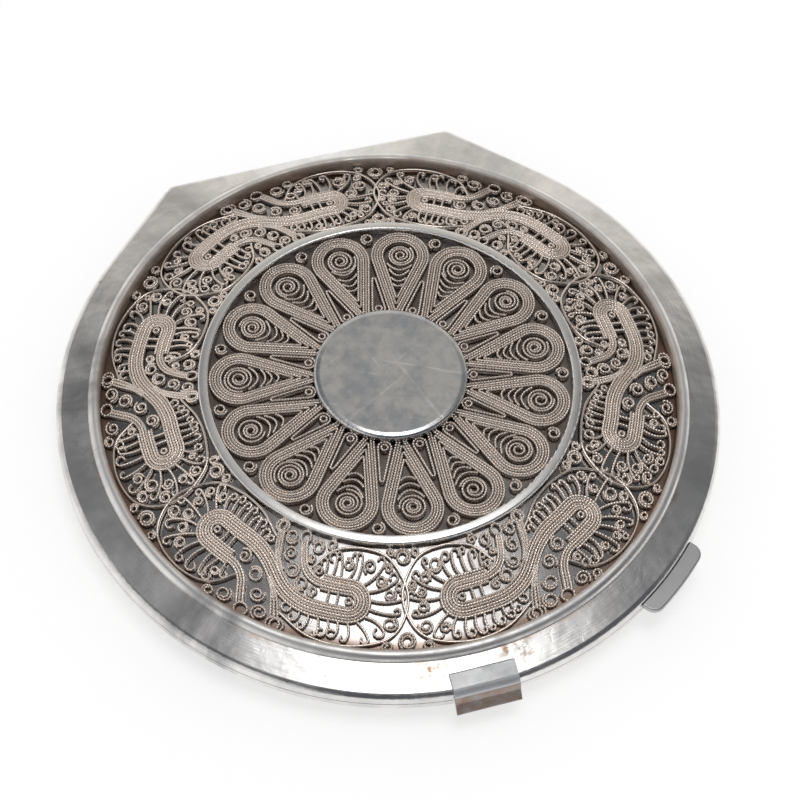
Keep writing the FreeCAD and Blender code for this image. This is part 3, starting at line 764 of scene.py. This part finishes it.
def hairlines_group(name):
    """Shader group: fine hairlines along the first coordinate, and a mask of a few stray scratches."""
    tree, given, result = new_group(
        name, [("Vector", "NodeSocketVector", None), ("Fineness", "NodeSocketFloat", 5000.0)],
        [("Height", "NodeSocketFloat"), ("Strays", "NodeSocketFloat")])
    stretch = node(tree, "ShaderNodeMapping", {0: given["Vector"], "Scale": (0.03, 1.0, 1.0)}).outputs[0]
    lines = noise(tree, stretch, given["Fineness"], 2.0, 0.5)
    strays = 0.0
    for turn in (0.5, 1.9, 2.7):
        slant = {0: given["Vector"], "Rotation": (0, 0, turn), "Scale": (20.0, 1.0, 1.0)}
        slanted = node(tree, "ShaderNodeMapping", slant, vector_type="TEXTURE").outputs[0]
        stray = noise(tree, slanted, times(tree, given["Fineness"], 0.35), 1.0)
        strays = maths(tree, "MAXIMUM", strays, ramp(tree, stray, 0.68, 0.76))
    tree.links.new(maths(tree, "SUBTRACT", lines, times(tree, strays, 0.4)), result["Height"])
    tree.links.new(strays, result["Strays"])
    return tree


def group_node(tree, make, inputs):
    """Node of the shader group that a function makes, made once and named after that function."""
    name = make.__name__.removesuffix("_group").replace("_", " ").title()
    group = bpy.data.node_groups.get(name) or make(name)
    return node(tree, "ShaderNodeGroup", inputs, node_tree=group).outputs


def clouds(tree, place, scale, cover, softness):
    """Mask of the cloud group: a share of the surface, in patches."""
    sizes = {"Vector": place, "Scale": scale, "Cover": cover, "Softness": softness}
    return group_node(tree, clouds_group, sizes)["Mask"]


def part_of(tree, vector, axis):
    return node(tree, "ShaderNodeSeparateXYZ", {0: vector}).outputs["XYZ".index(axis)]


def from_axis(tree, place):
    """Distance from the case's axis."""
    return group_node(tree, round_the_case_group, {"Vector": place})["Radius"]


def unrolled(tree, place):
    """Coordinates along the rim, out from the axis and up."""
    polar = group_node(tree, round_the_case_group, {"Vector": place})
    inputs = {0: polar["Along"], 1: polar["Radius"], 2: part_of(tree, place, "Z")}
    return node(tree, "ShaderNodeCombineXYZ", inputs).outputs[0]


def silver():
    """Colours of the finishes."""
    return bpy.context.scene.compact_silver


def new_material(name):
    """Material with an empty Principled surface, its tree and the object coordinates."""
    material = bpy.data.materials.new(name)
    material.use_nodes = True
    tree = material.node_tree
    shader = tree.nodes["Principled BSDF"]
    coordinates = node(tree, "ShaderNodeTexCoord").outputs["Object"]
    return material, tree, shader, coordinates


def feed(tree, shader, name, value):
    if isinstance(value, bpy.types.NodeSocket):
        tree.links.new(value, shader.inputs[name])
    else:
        shader.inputs[name].default_value = (*value, 1.0) if name == "Base Color" else value


def bumped(tree, height, distance):
    return node(tree, "ShaderNodeBump", {"Height": height, "Distance": distance}).outputs[0]


def named_material(make):
    """The material that a function makes, made once."""
    name = make.__name__.replace("_material", "_finish")
    return bpy.data.materials.get(name) or make(name)


# Finishes


def wire_silver_material(name):
    """Beaded wire: warm silver crests with a fine grain, brown patina in the recesses and at the bezel."""
    colours = silver()
    material, tree, shader, place = new_material(name)
    radius = from_axis(tree, place)
    crest = node(tree, "ShaderNodeAttribute", attribute_name="crest").outputs["Fac"]
    grain = noise(tree, place, 4200.0, 2.0)
    grime = times(tree, clouds(tree, place, 260.0, 0.5, 0.25), 0.1)
    near_bezel = ramp(tree, radius, LINING_RADIUS - 1.8 * MM, LINING_RADIUS)
    corner = times(tree, near_bezel, clouds(tree, place, 320.0, 0.55, 0.2))
    dark = maths(tree, "ADD", grime, times(tree, corner, 0.45))
    shade = maths(tree, "ADD", crest, times(tree, maths(tree, "SUBTRACT", grain, 0.5), 0.4))
    shade = maths(tree, "SUBTRACT", shade, dark)
    tone = blended(tree, ramp(tree, shade, -0.15, 0.55), colours.patina, colours.wire)
    rosette = ramp(tree, radius, RING_RADIUS, RING_RADIUS - 0.5 * MM, 0.0, 0.24)
    feed(tree, shader, "Base Color", blended(tree, rosette, tone, colours.patina))
    feed(tree, shader, "Roughness", ramp(tree, shade, 0.2, 1.0, 0.42, 0.15))
    feed(tree, shader, "Normal", bumped(tree, grain, 0.02 * MM))
    shader.inputs["Metallic"].default_value = 1.0
    return material


def polished_material(name, base, rough, haze=0.25, scuffs=0.15, dents=0.0, around=True, stains=(),
                      matte=0.05, relief=None):
    """Polished sheet: hairlines, scratches, dull clouds, dents, and stains where functions put them."""
    material, tree, shader, place = new_material(name)
    radius = from_axis(tree, place)
    lines = group_node(tree, hairlines_group, {"Vector": unrolled(tree, place) if around else place})
    dull = times(tree, clouds(tree, place, 110.0, 0.5, 0.2), clouds(tree, place, 700.0, 0.62, 0.25))
    dull_tone = [share * c for share, c in zip((0.5, 0.53, 0.57), base)]
    tone = blended(tree, times(tree, dull, haze), base, dull_tone)
    tone = blended(tree, times(tree, lines["Strays"], scuffs), tone, [min(1, 1.3 * c) for c in base])
    roughness = maths(tree, "ADD", rough, times(tree, dull, 0.15))
    for stain, stain_colour in stains:
        mask = stain(tree, place, radius)
        tone = blended(tree, mask, tone, stain_colour)
        roughness = maths(tree, "ADD", roughness, times(tree, mask, matte))
    normal = bumped(tree, lines["Height"], 0.006 * MM)
    if dents:
        dented = bumped(tree, noise(tree, place, 150.0, 3.0), dents)
        tree.links.new(dented, normal.node.inputs["Normal"])
    if relief:
        height, rise = relief
        tree.links.new(bumped(tree, height(tree, radius), rise), normal.node.inputs["Normal"])
    feed(tree, shader, "Base Color", tone)
    feed(tree, shader, "Roughness", roughness)
    feed(tree, shader, "Normal", normal)
    shader.inputs["Metallic"].default_value = 1.0
    return material


def foot_tarnish(tree, place, radius):
    """Brown in the corner where the band meets the bezel, broken up by clouds."""
    near = ramp(tree, radius, BEZEL_RADIUS + 0.7 * MM, BEZEL_RADIUS, 0.0, 0.8)
    return times(tree, near, clouds(tree, place, 170.0, 0.42, 0.12))


def spot_distance(tree, place, bearing, inset):
    """Distance from a spot on the rim, given by its bearing in degrees and its distance from the edge."""
    band_height = 5.2 * MM
    a = math.radians(bearing)
    reach = CASE_RADIUS - inset
    spot = reach * math.cos(a), reach * math.sin(a), band_height
    return node(tree, "ShaderNodeVectorMath", {0: place, 1: spot}, operation="DISTANCE").outputs["Value"]


def heat_stain(tree, place, radius):
    """Stains on the band along the back of the clip's foot, one to each side."""
    bearings = -99.0, -84.0
    inset, outer, inner = 3.3 * MM, 3.2 * MM, 0.8 * MM
    total = 0.0
    for bearing in bearings:
        near = ramp(tree, spot_distance(tree, place, bearing, inset), outer, inner)
        total = maths(tree, "MAXIMUM", total, near)
    return times(tree, total, clouds(tree, place, 1100.0, 0.46, 0.14))


def rim_pits(tree, place, radius):
    """A few small dark pits in the far side of the rim."""
    cells = node(tree, "ShaderNodeTexVoronoi", {"Vector": place, "Scale": 260.0}).outputs["Distance"]
    far = ramp(tree, part_of(tree, place, "Y"), 18 * MM, 26 * MM)
    outside = ramp(tree, radius, BEZEL_RADIUS, BEZEL_RADIUS + 0.4 * MM)
    pits = times(tree, ramp(tree, cells, 0.11, 0.05), clouds(tree, place, 150.0, 0.45, 0.02))
    return times(tree, times(tree, far, outside), pits)


def inner_wall_tarnish(tree, place, radius):
    """Brown on the bezel's inner wall, below its bead."""
    inside = ramp(tree, radius, BEZEL_RADIUS - 0.7 * MM, BEZEL_RADIUS - 1.15 * MM)
    return times(tree, inside, times(tree, clouds(tree, place, 200.0, 0.6, 0.3), 0.8))


def lining_tarnish(tree, place, radius):
    """Dark clouds on the lining: tarnish, dense under the rosette as painted shade, fewer under the panels,
    dense at the bezel.
    """
    # Under the rosette the dark clouds are painted shade below its wires
    rosette = ramp(tree, radius, RING_RADIUS + 1 * MM, RING_RADIUS - 1 * MM, 0.25, 0.85)
    corner = ramp(tree, radius, LINING_RADIUS - 2.5 * MM, LINING_RADIUS, 0.0, 0.9)
    dense = maths(tree, "MAXIMUM", rosette, corner)
    return times(tree, dense, clouds(tree, place, 150.0, 0.6, 0.2))


def rim_shadows(tree, place, radius):
    """Grey streaks across the rim as on old silver, a dark patch at its left, and painted dark reflection
    at its front left.
    """
    inputs = {0: unrolled(tree, place), "Scale": (1.0, 0.35, 0.35)}
    drawn = node(tree, "ShaderNodeMapping", inputs).outputs[0]
    # Bearing 162: a dark patch; bearing 223: painted dark reflection, where the lamp's reflection on the
    # band ends
    bearings = 162, 223
    inset, outer, inner = 1.5 * MM, 9 * MM, 3 * MM
    strength = 0.35
    for bearing in bearings:
        patch = ramp(tree, spot_distance(tree, place, bearing, inset), outer, inner, 0.0, 0.85)
        strength = maths(tree, "MAXIMUM", strength, patch)
    return times(tree, clouds(tree, drawn, 190.0, 0.48, 0.16), strength)


def case_silver_material(name):
    """Lid's rim: streaks and painted dark reflection, brown at the bezel's foot, stains beside the clip,
    far pits.
    """
    colours = silver()
    stains = ((rim_shadows, colours.streak), (foot_tarnish, colours.tarnish), (heat_stain, colours.heat),
              (rim_pits, colours.pits))
    return polished_material(name, colours.bright, 0.16, dents=0.12 * MM, stains=stains)


def base_silver_material(name):
    """Base: polished, with the rim's streaks and painted dark reflection."""
    stains = [(rim_shadows, silver().streak)]
    return polished_material(name, silver().bright, 0.18, dents=0.08 * MM, stains=stains)


def bezel_silver_material(name):
    """Bezel: satin, with the rim's streaks and painted dark reflection, and a brown inner wall."""
    colours = silver()
    stains = (rim_shadows, colours.streak), (inner_wall_tarnish, colours.tarnish)
    return polished_material(name, colours.bright, 0.3, dents=0.06 * MM, stains=stains, matte=0.32)


def bright_silver_material(name):
    """Hinge and mirror rims: plain polished silver."""
    return polished_material(name, silver().bright, 0.16)


def corner_dirt(tree, place, radius):
    """Brown on the lining along the bezel, stronger towards it."""
    near = ramp(tree, radius, LINING_RADIUS - 1.6 * MM, LINING_RADIUS - 0.4 * MM)
    return times(tree, near, clouds(tree, place, 420.0, 0.6, 0.2))


def lining_silver_material(name):
    """Lining: glossy and dark, browner under the rosette as painted shade, and along the bezel."""
    colours = silver()
    stains = (lining_tarnish, colours.patina), (corner_dirt, colours.dirt)
    return polished_material(name, colours.lining, 0.08, stains=stains, matte=0.2)


def worn_edge(tree, radius):
    """Height of the disc's top: level, and worn down along its edge."""
    return ramp(tree, radius, DISC_RADIUS - 0.8 * MM, DISC_RADIUS, 1.0, 0.0)


def crown(tree, radius):
    """Height of the ring's top, which follows the dome: highest at its inner edge and falling outward."""
    width = bpy.context.scene.compact_rosette.ring_width
    out = maths(tree, "DIVIDE", maths(tree, "SUBTRACT", radius, RING_RADIUS - width), width)
    return maths(tree, "SUBTRACT", 1.0, maths(tree, "POWER", maths(tree, "MAXIMUM", out, 0.0), 2.0))


def disc_clouds(tree, place, radius):
    """Cool grey clouds on the disc, large ones and small ones."""
    small = times(tree, clouds(tree, place, 700.0, 0.48, 0.08), 0.4)
    return maths(tree, "ADD", small, times(tree, clouds(tree, place, 190.0, 0.5, 0.07), 0.6))


def disc_silver_material(name):
    """Centre disc: satin, with cool clouds, many scratches and a worn edge."""
    colours = silver()
    return polished_material(
        name, colours.satin, 0.2, haze=0.5, scuffs=0.5, around=False, relief=(worn_edge, 0.16 * MM),
        stains=[(disc_clouds, colours.cool)], matte=0.0)


def ring_silver_material(name):
    """Divider ring: polished, with a top that falls outward."""
    return polished_material(name, silver().bright, 0.22, relief=(crown, 0.17 * MM))


def down_the_clip(tree, place, start, end, most=1.0):
    """Rises to the most between two shares of the clip's height, counted from its top."""
    low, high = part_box("clasp_clip")
    drop = high.z - low.z
    return ramp(tree, part_of(tree, place, "Z"), high.z - start * drop, high.z - end * drop, 0.0, most)


def clip_face(tree, place, radius):
    """Brown on the clip's face and lip, which stand below the band; part of it is painted shade below the
    bend's highlight.
    """
    below = down_the_clip(tree, place, 0.26, 0.36, 0.85)
    return times(tree, below, clouds(tree, place, 900.0, 0.62, 0.3))


def clip_bend(tree, place, radius):
    """Bright where the clip bends over the edge and is worn, with a painted highlight on the bend."""
    above = down_the_clip(tree, place, 0.34, 0.28)
    return times(tree, above, down_the_clip(tree, place, 0.12, 0.2, 0.9))


def clip_silver_material(name):
    """Clip: matte, with a worn bright bend that carries a painted highlight, and a brown face with painted
    shade.
    """
    colours = silver()
    # The bend's bright colour, the mirror's, is a painted highlight; the face's brown is partly painted
    # shade
    stains = (clip_face, colours.dirt), (clip_bend, colours.glass)
    return polished_material(name, colours.steel, 0.34, stains=stains)


def tab_silver_material(name):
    """Thumb tab: matte and plain."""
    return polished_material(name, silver().steel, 0.36)


def mirror_material(name):
    """Silvered glass."""
    material, tree, shader, place = new_material(name)
    colours = silver()
    dust = clouds(tree, place, 90.0, 0.35, 0.3)
    feed(tree, shader, "Base Color", colours.glass)
    feed(tree, shader, "Roughness", ramp(tree, dust, 0.0, 1.0, 0.015, 0.06))
    shader.inputs["Metallic"].default_value = 1.0
    return material


def card_material(name):
    """Dark card: fine fibres in the colour and the relief."""
    material, tree, shader, place = new_material(name)
    colours = silver()
    fibres = noise(tree, place, 3000.0, 6.0, 0.7)
    feed(tree, shader, "Base Color", blended(tree, fibres, colours.card, [1.8 * c for c in colours.card]))
    feed(tree, shader, "Normal", bumped(tree, fibres, 0.03 * MM))
    shader.inputs["Roughness"].default_value = 0.9
    return material


# Studio


def seen_plainly(tree):
    """1 for rays from the camera, and for those that a gloss or a glass sends on."""
    rays = node(tree, "ShaderNodeLightPath").outputs
    return maths(tree, "MAXIMUM", rays["Is Camera Ray"],
                 maths(tree, "MAXIMUM", rays["Is Glossy Ray"], rays["Is Transmission Ray"]))


def make_floor(sizes):
    """White floor: half of its white is its own, so that the case's shadow stays soft and pale."""
    half = sizes.floor / 2
    below = -0.02 * MM
    mesh = bpy.data.meshes.new("floor")
    corners = [(-half, -half, below), (half, -half, below), (half, half, below), (-half, half, below)]
    mesh.from_pydata(corners, [], [(0, 1, 2, 3)])
    floor = bpy.data.objects.new("floor", mesh)
    bpy.context.scene.collection.objects.link(floor)
    material = bpy.data.materials.new("floor_white")
    material.use_nodes = True
    tree = material.node_tree
    tree.nodes.clear()
    lit = node(tree, "ShaderNodeBsdfDiffuse", {"Color": (0.62, 0.62, 0.62, 1)}).outputs[0]
    strength = times(tree, seen_plainly(tree), 0.5)
    own = node(tree, "ShaderNodeEmission", {"Strength": strength}).outputs[0]
    both = node(tree, "ShaderNodeAddShader", {0: lit, 1: own}).outputs[0]
    node(tree, "ShaderNodeOutputMaterial", {"Surface": both})
    mesh.materials.append(material)


def make_world(scene, sizes):
    """White to the camera; to a gloss a room: a dark front, a grey back, a window and a white horizon."""
    world = bpy.data.worlds.new("studio_room")
    world.use_nodes = True
    scene.world = world
    tree = world.node_tree
    tree.nodes.clear()
    direction = node(tree, "ShaderNodeTexCoord").outputs["Generated"]
    x, y, z = node(tree, "ShaderNodeSeparateXYZ", {0: direction}).outputs
    off_middle = maths(tree, "ABSOLUTE", maths(tree, "SUBTRACT", x, 0.18))
    back_wall = times(tree, ramp(tree, off_middle, 0.45, 0.12), ramp(tree, y, 0.15, 0.5))
    halo = ramp(tree, z, 0.84, 0.93)
    low_back = times(tree, ramp(tree, z, 0.68, 0.38), ramp(tree, y, 0.0, 0.6))
    beside_lamp = times(tree, ramp(tree, x, 0.1, 0.32), ramp(tree, z, 0.86, 0.95))
    window = times(tree, ramp(tree, x, -0.46, -0.6), ramp(tree, z, 0.74, 0.6))
    horizon = ramp(tree, z, 0.25, 0.03)
    layers = (
        (back_wall, (0.45, 0.44, 0.42)), (halo, (0.38, 0.38, 0.39)), (low_back, (0.82, 0.79, 0.75)),
        (beside_lamp, (0.5, 0.5, 0.5)), (window, (0.78, 0.78, 0.79)), (horizon, (0.95, 0.95, 0.95)),
    )
    gloss = blended(tree, ramp(tree, y, -0.4, 0.0), (0.09, 0.095, 0.11), (0.16, 0.166, 0.175))
    for mask, tint in layers:
        gloss = blended(tree, mask, gloss, tint)
    rays = node(tree, "ShaderNodeLightPath").outputs
    plain = blended(tree, rays["Is Camera Ray"], (sizes.ambient, sizes.ambient, sizes.ambient), (1, 1, 1))
    seen = blended(tree, rays["Is Glossy Ray"], plain, gloss)
    background = node(tree, "ShaderNodeBackground", {"Color": seen}).outputs[0]
    node(tree, "ShaderNodeOutputWorld", {"Surface": background})


def make_lamp(scene, sizes):
    """Softbox above the case and to its right."""
    light = bpy.data.lights.new("softbox", "AREA")
    light.shape = "DISK"
    light.size = sizes.lamp_size
    light.energy = sizes.lamp_power
    lamp = bpy.data.objects.new("softbox", light)
    lamp.location = sizes.lamp_x, sizes.lamp_y, sizes.lamp_height
    scene.collection.objects.link(lamp)


def make_camera(scene, sizes):
    """Camera on a sphere round the case's middle at the parting line, looking at it."""
    middle = Vector((0, 0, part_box("base_pan")[1].z))
    away = Vector((
        math.sin(sizes.azimuth) * math.cos(sizes.elevation),
        -math.cos(sizes.azimuth) * math.cos(sizes.elevation),
        math.sin(sizes.elevation),
    ))
    camera = bpy.data.cameras.new("camera")
    camera.lens = sizes.lens
    camera.shift_x, camera.shift_y = sizes.shift_x, sizes.shift_y
    camera.clip_start, camera.clip_end = 1 * MM, 10
    holder = bpy.data.objects.new("camera", camera)
    holder.location = middle + sizes.distance * away
    holder.rotation_mode = "QUATERNION"
    holder.rotation_quaternion = (-away).to_track_quat("-Z", "Y") @ Quaternion((0, 0, 1), sizes.roll)
    scene.collection.objects.link(holder)
    scene.camera = holder


# Operators


class COMPACT_OT_bezel(bpy.types.Operator):
    """Turn the bezel round the filigree"""

    bl_idname = "compact.bezel"
    bl_label = "Bezel"

    def execute(self, context):
        sizes = context.scene.compact_bezel
        profile = evenly(bezel_profile(sizes), sizes.step, True)[0]
        surface = ring_surface(profile, sizes.points)
        finish = named_material(bezel_silver_material)
        new_piece("bezel_bead", surface, LID, ["bezel_ring"], finish)
        return {"FINISHED"}


class COMPACT_OT_petals(bpy.types.Operator):
    """Wind the petals of the rosette"""

    bl_idname = "compact.petals"
    bl_label = "Petals"

    def execute(self, context):
        sizes, wire = context.scene.compact_rosette, context.scene.compact_wire
        plan = PetalPlan(sizes)
        for k, name in enumerate(PETALS):
            bearing = sizes.phase + 2 * k * plan.half_sector
            wires = turned_wires(petal_wires(plan, sizes, wire, np.random.default_rng(k)), bearing)
            filigree_piece(f"wound_{name}", wires, rosette_level, [name])
        return {"FINISHED"}


class COMPACT_OT_rosette_trim(bpy.types.Operator):
    """Set the rings and hairpins between the petals"""

    bl_idname = "compact.rosette_trim"
    bl_label = "Rosette trim"

    def execute(self, context):
        sizes, wire = context.scene.compact_rosette, context.scene.compact_wire
        plan = PetalPlan(sizes)
        wires = []
        for k in range(len(PETALS)):
            bearing = sizes.phase + (2 * k + 1) * plan.half_sector
            wires += turned_wires(trim_wires(plan, sizes, wire), bearing)
        filigree_piece("rosette_trim", wires, rosette_level, ["rosette_rings", "rosette_drops"])
        return {"FINISHED"}


class COMPACT_OT_panels(bpy.types.Operator):
    """Wind the scrolled panels of the outer band"""

    bl_idname = "compact.panels"
    bl_label = "Scrolled panels"

    def execute(self, context):
        sizes, wire = context.scene.compact_scroll, context.scene.compact_wire
        step = 2 * math.pi / len(PANELS)
        for k, name in enumerate(PANELS):
            rng = np.random.default_rng(FIRST_PANEL_SEED + k)
            hand = 1 if k % 2 == 0 else -1
            bearing = sizes.phase - k * step
            wires = [w.along(bent(w.path, bearing, hand)) for w in panel_wires(sizes, wire, rng)]
            filigree_piece(f"wound_{name}", wires, dome_level, [name])
        return {"FINISHED"}


class COMPACT_OT_panel_coils(bpy.types.Operator):
    """Set the coils between the panels"""

    bl_idname = "compact.panel_coils"
    bl_label = "Panel coils"

    def execute(self, context):
        sizes, wire = context.scene.compact_scroll, context.scene.compact_wire
        step = 2 * math.pi / len(PANELS)
        wires = []
        for k in range(len(PANELS)):
            wires += turned_wires(corner_wires(sizes, wire), sizes.phase - (k + 0.5) * step)
        filigree_piece("panel_coils", wires, dome_level, ["panel_rings"])
        return {"FINISHED"}


class COMPACT_OT_finishes(bpy.types.Operator):
    """Give the case, the clip, the hinge and the mirrors their finishes"""

    bl_idname = "compact.finishes"
    bl_label = "Case finishes"

    def execute(self, context):
        finishes = {
            case_silver_material: ["lid_frame"],
            base_silver_material: ["base_pan"],
            lining_silver_material: ["lining_plate"],
            ring_silver_material: ["divider_ring"],
            disc_silver_material: ["center_disc"],
            bright_silver_material: [
                "lid_knuckle", "base_knuckles", "hinge_pin", "lid_mirror_rim", "base_mirror_rim"],
            clip_silver_material: ["clasp_clip"],
            tab_silver_material: ["thumb_tab"],
            mirror_material: ["lid_mirror", "base_mirror"],
            card_material: ["lid_mirror_pad", "base_mirror_pad"],
        }
        for make, names in finishes.items():
            for name in names:
                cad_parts[name].material_slots[0].material = named_material(make)
        return {"FINISHED"}


class COMPACT_OT_studio(bpy.types.Operator):
    """Set up the floor, the light and the camera"""

    bl_idname = "compact.studio"
    bl_label = "Studio"

    def execute(self, context):
        sizes = context.scene.compact_studio
        make_floor(sizes)
        make_world(context.scene, sizes)
        make_lamp(context.scene, sizes)
        make_camera(context.scene, sizes)
        context.scene.view_settings.view_transform = "Standard"
        return {"FINISHED"}


# Sidebar and registration


class COMPACT_PT_panel(bpy.types.Panel):
    """Sidebar with a button for each group of pieces, and the sizes and colours"""

    bl_idname = "COMPACT_PT_panel"
    bl_label = "Filigree compact"
    bl_space_type = "VIEW_3D"
    bl_region_type = "UI"
    bl_category = "Compact"

    def draw(self, context):
        for operator in OPERATORS:
            self.layout.operator(operator.bl_idname)
        for name, kind in SETTINGS.items():
            box = self.layout.box()
            box.label(text=name.removeprefix("compact_").title())
            for setting in kind.__annotations__:
                box.prop(getattr(context.scene, name), setting)


SETTINGS = {
    "compact_wire": WireSettings, "compact_bezel": BezelSettings, "compact_rosette": RosetteSettings,
    "compact_scroll": ScrollSettings, "compact_silver": SilverSettings, "compact_studio": StudioSettings,
}
OPERATORS = (
    COMPACT_OT_bezel, COMPACT_OT_petals, COMPACT_OT_rosette_trim, COMPACT_OT_panels,
    COMPACT_OT_panel_coils, COMPACT_OT_finishes, COMPACT_OT_studio,
)


def register():
    for made in (*SETTINGS.values(), *OPERATORS, COMPACT_PT_panel):
        bpy.utils.register_class(made)
    for name, made in SETTINGS.items():
        setattr(bpy.types.Scene, name, PointerProperty(type=made))


def unregister():
    for name in SETTINGS:
        delattr(bpy.types.Scene, name)
    for made in (COMPACT_PT_panel, *reversed(OPERATORS), *reversed(SETTINGS.values())):
        bpy.utils.unregister_class(made)


def main():
    register()
    bpy.ops.compact.bezel()
    bpy.ops.compact.petals()
    bpy.ops.compact.rosette_trim()
    bpy.ops.compact.panels()
    bpy.ops.compact.panel_coils()
    bpy.ops.compact.finishes()
    bpy.ops.compact.studio()


if __name__ == "__main__":
    main()
